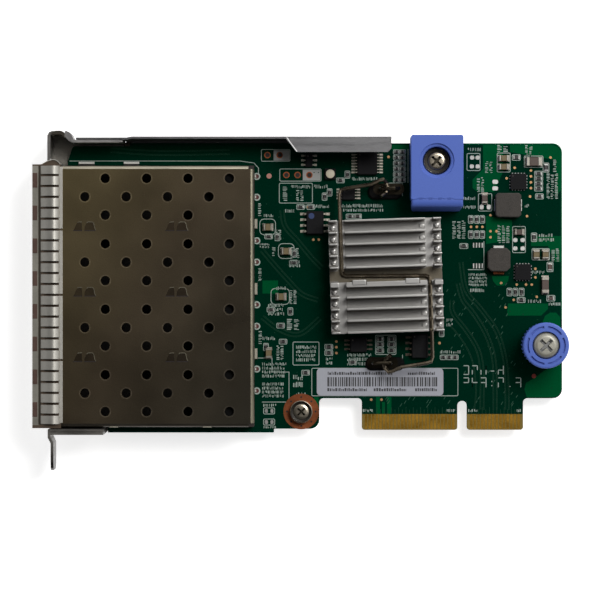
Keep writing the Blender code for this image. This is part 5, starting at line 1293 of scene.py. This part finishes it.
def knob_ring(radius, level, depth):
    """One level of the knob, its ribs cut in by depth."""
    count = RIBS * PER_RIB
    points = []
    for i in range(count):
        angle = 2 * math.pi * i / count
        wave = 0.5 - 0.5 * math.cos(RIBS * angle)
        r = radius - depth * wave ** 0.7
        points.append((THUMB_X + r * math.cos(angle), THUMB_Y + r * math.sin(angle), level))
    return points


knob = Shape()
KNOB_RIM, KNOB_ROUND, RIB_DEEP = 1.1, 0.4, 0.28
rings = [knob_ring(3.95, KNOB_LOW, 0), knob_ring(4.8, KNOB_LOW, RIB_DEEP),
         knob_ring(4.94, KNOB_LOW + 0.2, RIB_DEEP), knob_ring(4.94, KNOB_TOP - KNOB_RIM, RIB_DEEP),
         knob_ring(KNOB_RADIUS, KNOB_TOP - KNOB_RIM, 0)]
rings += [knob_ring(KNOB_RADIUS - inset, KNOB_TOP - drop, 0) for inset, drop in quarter(KNOB_ROUND, 6)]
KNOB_WELL = ((3.1, KNOB_TOP), (2.98, KNOB_TOP - 0.12), (2.95, KNOB_TOP - 1.2), (1.75, KNOB_TOP - 1.2),
             (1.75, 9.5), (3.95, 9.5))
rings += [knob_ring(radius, level, 0) for radius, level in KNOB_WELL]
knob.loft(rings, closed=True)
made = knob.make("blue_knob", ("blue",), "touch_blue", "thumbscrew", ("thumbscrew_knob",))
cutter = Shape()
GROOVES, GROOVE_HALF, GROOVE_OUTER, GROOVE_INNER = 6, 24, 4.22, 3.78
for i in range(GROOVES):
    middle = 360 / GROOVES * i
    outline = arc(THUMB_X, THUMB_Y, GROOVE_OUTER, middle - GROOVE_HALF, middle + GROOVE_HALF, 10)
    outline += arc(THUMB_X, THUMB_Y, GROOVE_INNER, middle + GROOVE_HALF, middle - GROOVE_HALF, 10)
    cutter.loft([at(outline, level) for level in (KNOB_TOP - 0.55, KNOB_TOP + 0.5)])
carve(made, cutter.make("groove_cutter", ("blue",), "touch_blue"))
pan_head("knob_screw", THUMB_X, THUMB_Y, 11.9, 2.83, 1.35, 1.5, -4.5, 1.95, ("thumbscrew_screw",),
         "cream_screw", "recess_grey_shade", "thumbscrew")
for node in ("thumbscrew_washer", "thumbscrew_sleeve"):
    dress(node, "screw")

SPRING_LOW, SPRING_HIGH, SPRING_TRAVEL = 1.7, 8.6, 1.6
SPRING_RADIUS, SPRING_WIRE, SPRING_TURNS = 3.0, 0.28, 4
COIL_STEPS = 20
spring = Shape()
coil = []
for step in range(SPRING_TURNS * COIL_STEPS + 1):
    angle = 2 * math.pi * step / COIL_STEPS
    share = step / (SPRING_TURNS * COIL_STEPS)
    level = SPRING_LOW + SPRING_WIRE + (SPRING_HIGH - SPRING_LOW - 2 * SPRING_WIRE) * share
    coil.append((THUMB_X + SPRING_RADIUS * math.cos(angle), THUMB_Y + SPRING_RADIUS * math.sin(angle),
                 level))
spring.tube(coil, SPRING_WIRE, 10)
made = spring.make("press_spring", ("screw",), "clip_steel", replaces=("thumbscrew_spring",))
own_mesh(made)


# Chips with bent leads, converters, inductors, larger capacitors and the switch

LEAD_PAINT = 4


def gull_lead(shape, edge_x, y, side, wide, reach, shoulder):
    """One bent lead from the body's side down to its pad."""
    thick = 0.14
    foot = reach * 0.5
    line = [(0.0, shoulder), (reach * 0.3, shoulder), (reach * 0.42, shoulder - 0.1), (reach * 0.55, 0.12),
            (reach * 0.65, 0.07), (reach, 0.07)]
    section = [(u, z + thick / 2) for u, z in line] + [(u, z - thick / 2) for u, z in reversed(line)]
    shape.loft([[(edge_x + side * u, end, PAD_TOP + max(z, 0.0)) for u, z in section]
                for end in (y - wide / 2, y + wide / 2)], LEAD_PAINT)
    x0, x1 = sorted((edge_x + side * (reach - foot - 0.1), edge_x + side * (reach + 0.25)))
    shape.box(x0, x1, y - wide / 2 - 0.08, y + wide / 2 + 0.08, LAYER_LOW, PAD_TOP, LEAD_PAINT)


CHIPS = (
    ("memory_chip_upper", -20.81, 45.59, 3.8, 5.1, 1.6, 4, 1.27, 1.1),
    ("memory_chip_lower", 2.24, 18.46, 3.6, 5.3, 1.6, 4, 1.27, 1.1),
    ("buffer_chip", -13.46, 51.92, 2.9, 2.75, 1.0, 4, 0.65, 0.9),
    ("expander_chip", -9.34, 58.6, 4.4, 5.0, 1.1, 7, 0.65, 1.0),
    ("sensor_chip", -11.27, 18.72, 3.7, 3.2, 1.2, 3, 0.95, 1.0),
    ("gate_chip", -22.14, 59.3, 1.6, 3.0, 1.1, 3, 1.0, 0.7),
)
# Chips in the heatsink's shadow get darker leads: painted shadow
SHADED_CHIPS = ("memory_chip_lower", "sensor_chip")
for name, x, y, wide, deep, high, leads, pitch, reach in CHIPS:
    chip = Shape()
    outline = centred(x, y, wide / 2, deep / 2, 0.2)
    base = PAD_TOP + 0.12
    top = PART_LOW + high
    middle = (base + top) / 2
    section = ((0.12, base), (0.0, middle - 0.05), (0.0, middle + 0.05), (0.1, top - 0.06), (0.17, top))
    chip.loft([at(shifted(outline, inset), level) for inset, level in section])
    for i in range(leads):
        for side in (-1, 1):
            lead_y = y + (i - (leads - 1) / 2) * pitch
            gull_lead(chip, x + side * wide / 2, lead_y, side, pitch * 0.32, reach, high * 0.5)
    inset, radius, paint = (1.1, 0.64, 3) if name == "memory_chip_upper" else (0.6, 0.2, 2)
    chip.disc(x - wide / 2 + inset, y + deep / 2 - inset, radius, top - 0.01, top + 0.015, 24, paint)
    lead = "lead_shadowed" if name in SHADED_CHIPS else "lead"
    chip.make("leaded_" + name, ("chip", "solder", "ferrite", "dot", lead), "chip_black", replaces=(name,))

CONVERTERS = (("power_converter_upper", 23.93, 54.59), ("power_converter_lower", 24.9, 34.72))
CONVERTER_HALF, CONVERTER_TOP, LAND_PITCH = 1.75, 1.8, 0.65
for name, x, y in CONVERTERS:
    flat = Shape()
    half = CONVERTER_HALF
    flat.box(x - half, x + half, y - half, y + half, PAD_TOP, CONVERTER_TOP, 0, chamfer=0.06, radius=0.06)
    for i in range(5):
        offset = (i - 2) * LAND_PITCH
        for sx, sy in ((1, 0), (-1, 0), (0, 1), (0, -1)):
            px, py = x + sx * half + sy * offset, y + sy * half + sx * offset
            dx, dy = (0.22, 0.14) if sx else (0.14, 0.22)
            flat.box(px - dx, px + dx, py - dy, py + dy, LAYER_LOW, PAD_TOP + 0.12, 1)
    flat.disc(x - half + 0.5, y + half - 0.5, 0.16, CONVERTER_TOP - 0.01, CONVERTER_TOP + 0.015, 16, 2)
    flat.make("qfn_" + name, ("chip", "silk_fill", "ferrite"), "chip_black", replaces=(name,))

INDUCTORS = (
    ("power_inductor_upper", 21.6, 49.4, 5.6, 5.3, 3.0),
    ("power_inductor_lower", 19.56, 37.42, 5.0, 5.15, 2.8),
)
for name, x, y, wide, deep, high in INDUCTORS:
    coil = Shape()
    left, right, low, top = x - wide / 2, x + wide / 2, y - deep / 2, y + deep / 2
    c = 0.5 if name.endswith("upper") else 0.85
    outline = [(left + c, low), (right - c, low), (right, low + c), (right, top - c),
               (right - c, top), (left + c, top), (left, top - c), (left, low + c)]
    coil.prism(outline, PART_LOW, PART_LOW + high, 0, chamfer=0.25, steps=3)
    along_x = name.endswith("upper")
    for side in (-1, 1):
        if along_x:
            edge = x + side * wide / 2
            coil.box(edge - side * 0.3, edge + side * 0.22, y - 1.3, y + 1.3, PAD_TOP, 2.2, 1, chamfer=0.06)
        else:
            edge = y + side * deep / 2
            paint = 1 if side > 0 else 2
            coil.box(x - 1.2, x + 1.2, edge - side * 0.3, edge + side * 0.6, PAD_TOP, 1.5, paint,
                     chamfer=0.12)
    coil.make("moulded_" + name, ("ferrite", "solder", "copper"), "ferrite_grey", replaces=(name,))

CERAMIC_PAINTS = ("resistor", "cap_end", "tan", "brown", "silk")
CAPACITORS = (
    ("capacitor_1", -31.2, 44.6, 1.9, 1.5, 1.2, 2), ("capacitor_2", -27.2, 39.3, 1.9, 1.5, 1.2, 2),
    ("capacitor_3", -28.3, 29.3, 1.9, 1.5, 1.2, 2), ("capacitor_4", -31.0, 16.9, 1.3, 2.1, 1.2, 2),
    ("capacitor_5", 27.3, 59.0, 3.3, 1.9, 1.5, 3), ("capacitor_6", 20.7, 58.8, 2.0, 2.6, 1.3, 2),
    ("capacitor_7", 29.8, 31.9, 1.5, 3.6, 1.5, 3), ("capacitor_8", 16.5, 50.9, 1.3, 2.1, 1.2, 3),
)


def ceramic(shape, x, y, wide, deep, low, high, paint):
    """A ceramic block with wrapped tin ends along its longer side."""
    upright = deep > wide
    long, across = (deep, wide) if upright else (wide, deep)
    end = long * 0.22

    def place(u0, u1, half):
        return (x - half, x + half, y + u0, y + u1) if upright else (x + u0, x + u1, y - half, y + half)

    shape.box(*place(-long / 2 + end, long / 2 - end, across / 2 - 0.03), low, high - 0.03, paint,
              chamfer=0.06)
    for side in (-1, 1):
        u0, u1 = sorted((side * long / 2, side * (long / 2 - end)))
        shape.box(*place(u0, u1, across / 2), low, high, 1, chamfer=0.1)
        u0, u1 = sorted((side * (long / 2 + 0.25), side * (long / 2 - end)))
        shape.box(*place(u0, u1, across / 2 + 0.06), LAYER_LOW, PAD_TOP, 1)


for name, x, y, wide, deep, high, paint in CAPACITORS:
    block = Shape()
    if name == "capacitor_6":
        for offset in (-0.95, 0.95):
            ceramic(block, x, y + offset, 2.1, 1.3, PAD_TOP, PART_LOW + high, paint)
    else:
        ceramic(block, x, y, wide, deep, PAD_TOP, PART_LOW + high, paint)
    block.make("ceramic_" + name, CERAMIC_PAINTS, "capacitor_tan", replaces=(name,))

# Three more in pixels, with width, depth and paint
TWINS = ((536.3, 254.6, 1.35, 1.8, 2), (545.4, 254.6, 1.35, 1.8, 2), (519, 232, 1.9, 1.25, 3))
twins = Shape()
for x, y, wide, deep, paint in TWINS:
    ceramic(twins, *spot(x, y), wide, deep, PAD_TOP, 2.0, paint)
twins.make("ceramic_group", CERAMIC_PAINTS, "capacitor_tan")

switch = Shape()
SWITCH_X, SWITCH_Y, SWITCH_HALF, SWITCH_TOP = -17.47, 56.3, 1.2, 1.8
SWITCH_CAP = ((0.98, 1.75), (0.98, 1.98), (0.93, 2.06), (0.8, 2.1), (0, 2.12))
switch.box(SWITCH_X - SWITCH_HALF, SWITCH_X + SWITCH_HALF, SWITCH_Y - SWITCH_HALF, SWITCH_Y + SWITCH_HALF,
           PAD_TOP, SWITCH_TOP, 0, chamfer=0.08, radius=0.15)
switch.lathe(SWITCH_CAP, SWITCH_X, SWITCH_Y, 32, 1)
switch.make("round_switch", ("chip", "switch_cap"), "chip_black", replaces=("status_switch",))

# Label with generic bars
paper = Shape()
LABEL = (-20.44, 7.42, 7.5, 13.58)
paper.prism(rectangle(*LABEL, 0.9, 8), BOARD_TOP + 0.05, BOARD_TOP + 0.17, 0, chamfer=0.02)
INK_LOW, INK_TOP = BOARD_TOP + 0.15, BOARD_TOP + 0.182
BARS_LEFT, BARS_RIGHT, BARS_LOW, BARS_HIGH = -18.1, 5.8, 9.55, 11.6
INK_ROWS = ((-18.0, -3.8, 12.1), (-0.4, 5.6, 12.1), (-18.1, -9.5, 8.5), (-7.9, -0.9, 8.5), (1.2, 6.0, 8.5))
place = BARS_LEFT
while place < BARS_RIGHT:
    wide = chance.choice((0.14, 0.22, 0.3, 0.4))
    paper.box(place, place + wide, BARS_LOW, BARS_HIGH, INK_LOW, INK_TOP, 1)
    place += wide + chance.choice((0.14, 0.2, 0.3))
for x0, x1, y0 in INK_ROWS:
    place = x0
    while place < x1:
        wide = chance.choice((0.16, 0.3, 0.42))
        tall = chance.choice((0.5, 0.62, 0.7))
        paper.box(place, place + wide, y0, y0 + tall, INK_LOW, INK_TOP, 1)
        place += wide + 0.14
paper.make("barred_label", ("label", "ink"), "label_white", replaces=("label",))


# Stage and lights

FLOOR_HALF = 3.0
FLOOR_COLOUR = (0.85, 0.85, 0.85, 1)
FLOOR_GLOW = 0.7
FLOOR_GAP = 0.0002
floor_level = cad_bounds[0][2] - FLOOR_GAP


def stage_material():
    """A pale floor that shows near white to the camera and still takes the shadow."""
    made, nodes, links, shader = new_material()
    made.name = "pale_floor"
    set_inputs(shader, {"Base Color": FLOOR_COLOUR, "Roughness": 0.9, "Specular IOR Level": 0.1,
                        "Emission Color": (1, 1, 1, 1)})
    path = nodes.new("ShaderNodeLightPath")
    most = math_node(nodes, "Math", "MAXIMUM")
    links.new(path.outputs["Is Camera Ray"], most.inputs[0])
    links.new(path.outputs["Is Glossy Ray"], most.inputs[1])
    second = math_node(nodes, "Math", "MAXIMUM")
    links.new(most.outputs[0], second.inputs[0])
    links.new(path.outputs["Is Transmission Ray"], second.inputs[1])
    strength = math_node(nodes, "Math", "MULTIPLY", FLOOR_GLOW)
    links.new(second.outputs[0], strength.inputs[0])
    links.new(strength.outputs[0], shader.inputs["Emission Strength"])
    return made


floor_mesh = bpy.data.meshes.new("floor")
floor_mesh.from_pydata(at(centred(0, 0, FLOOR_HALF, FLOOR_HALF), floor_level), [], [(0, 1, 2, 3)])
floor_mesh.materials.append(stage_material())
floor = bpy.data.objects.new("floor", floor_mesh)
bpy.context.scene.collection.objects.link(floor)

# The sky is darkest towards WORLD_DARK; its stops are (share of the way there, brightness)
WORLD_DARK = (-0.18, -0.42, 0.89)
SKY_ENDS = ((0.2, 1.0), (0.86, 0.045))
SKY_MIDDLE = (0.56, 0.26)
world = bpy.data.worlds.new("studio")
bpy.context.scene.world = world
world.use_nodes = True
nodes, links = world.node_tree.nodes, world.node_tree.links
ground = nodes["Background"]
place = nodes.new("ShaderNodeTexCoord")
toward = nodes.new("ShaderNodeVectorMath")
toward.operation = "DOT_PRODUCT"
toward.inputs[1].default_value = WORLD_DARK
links.new(place.outputs["Generated"], toward.inputs[0])
ramp = nodes.new("ShaderNodeValToRGB")
for stop, (position, shade) in zip(ramp.color_ramp.elements, SKY_ENDS):
    stop.position = position
    stop.color = (shade, shade, shade, 1)
ramp.color_ramp.elements.new(SKY_MIDDLE[0]).color = (SKY_MIDDLE[1], SKY_MIDDLE[1], SKY_MIDDLE[1], 1)
links.new(toward.outputs["Value"], ramp.inputs["Fac"])
links.new(ramp.outputs["Color"], ground.inputs["Color"])

# One soft light from the upper right
KEY_PLACE, KEY_SIZE, KEY_POWER, KEY_TONE = Vector((0.231, 0.27, 0.632)), 0.28, 3.1, (1.0, 0.99, 0.97)
AIM = Vector((VIEW_X * MM, VIEW_Y * MM, 0.0))
light = bpy.data.lights.new("key", "AREA")
light.shape = "RECTANGLE"
light.size = KEY_SIZE
light.size_y = KEY_SIZE
light.energy = KEY_POWER
light.color = KEY_TONE
key = bpy.data.objects.new("key", light)
key.location = KEY_PLACE
key.rotation_euler = (AIM - KEY_PLACE).to_track_quat("-Z", "Y").to_euler()
bpy.context.scene.collection.objects.link(key)
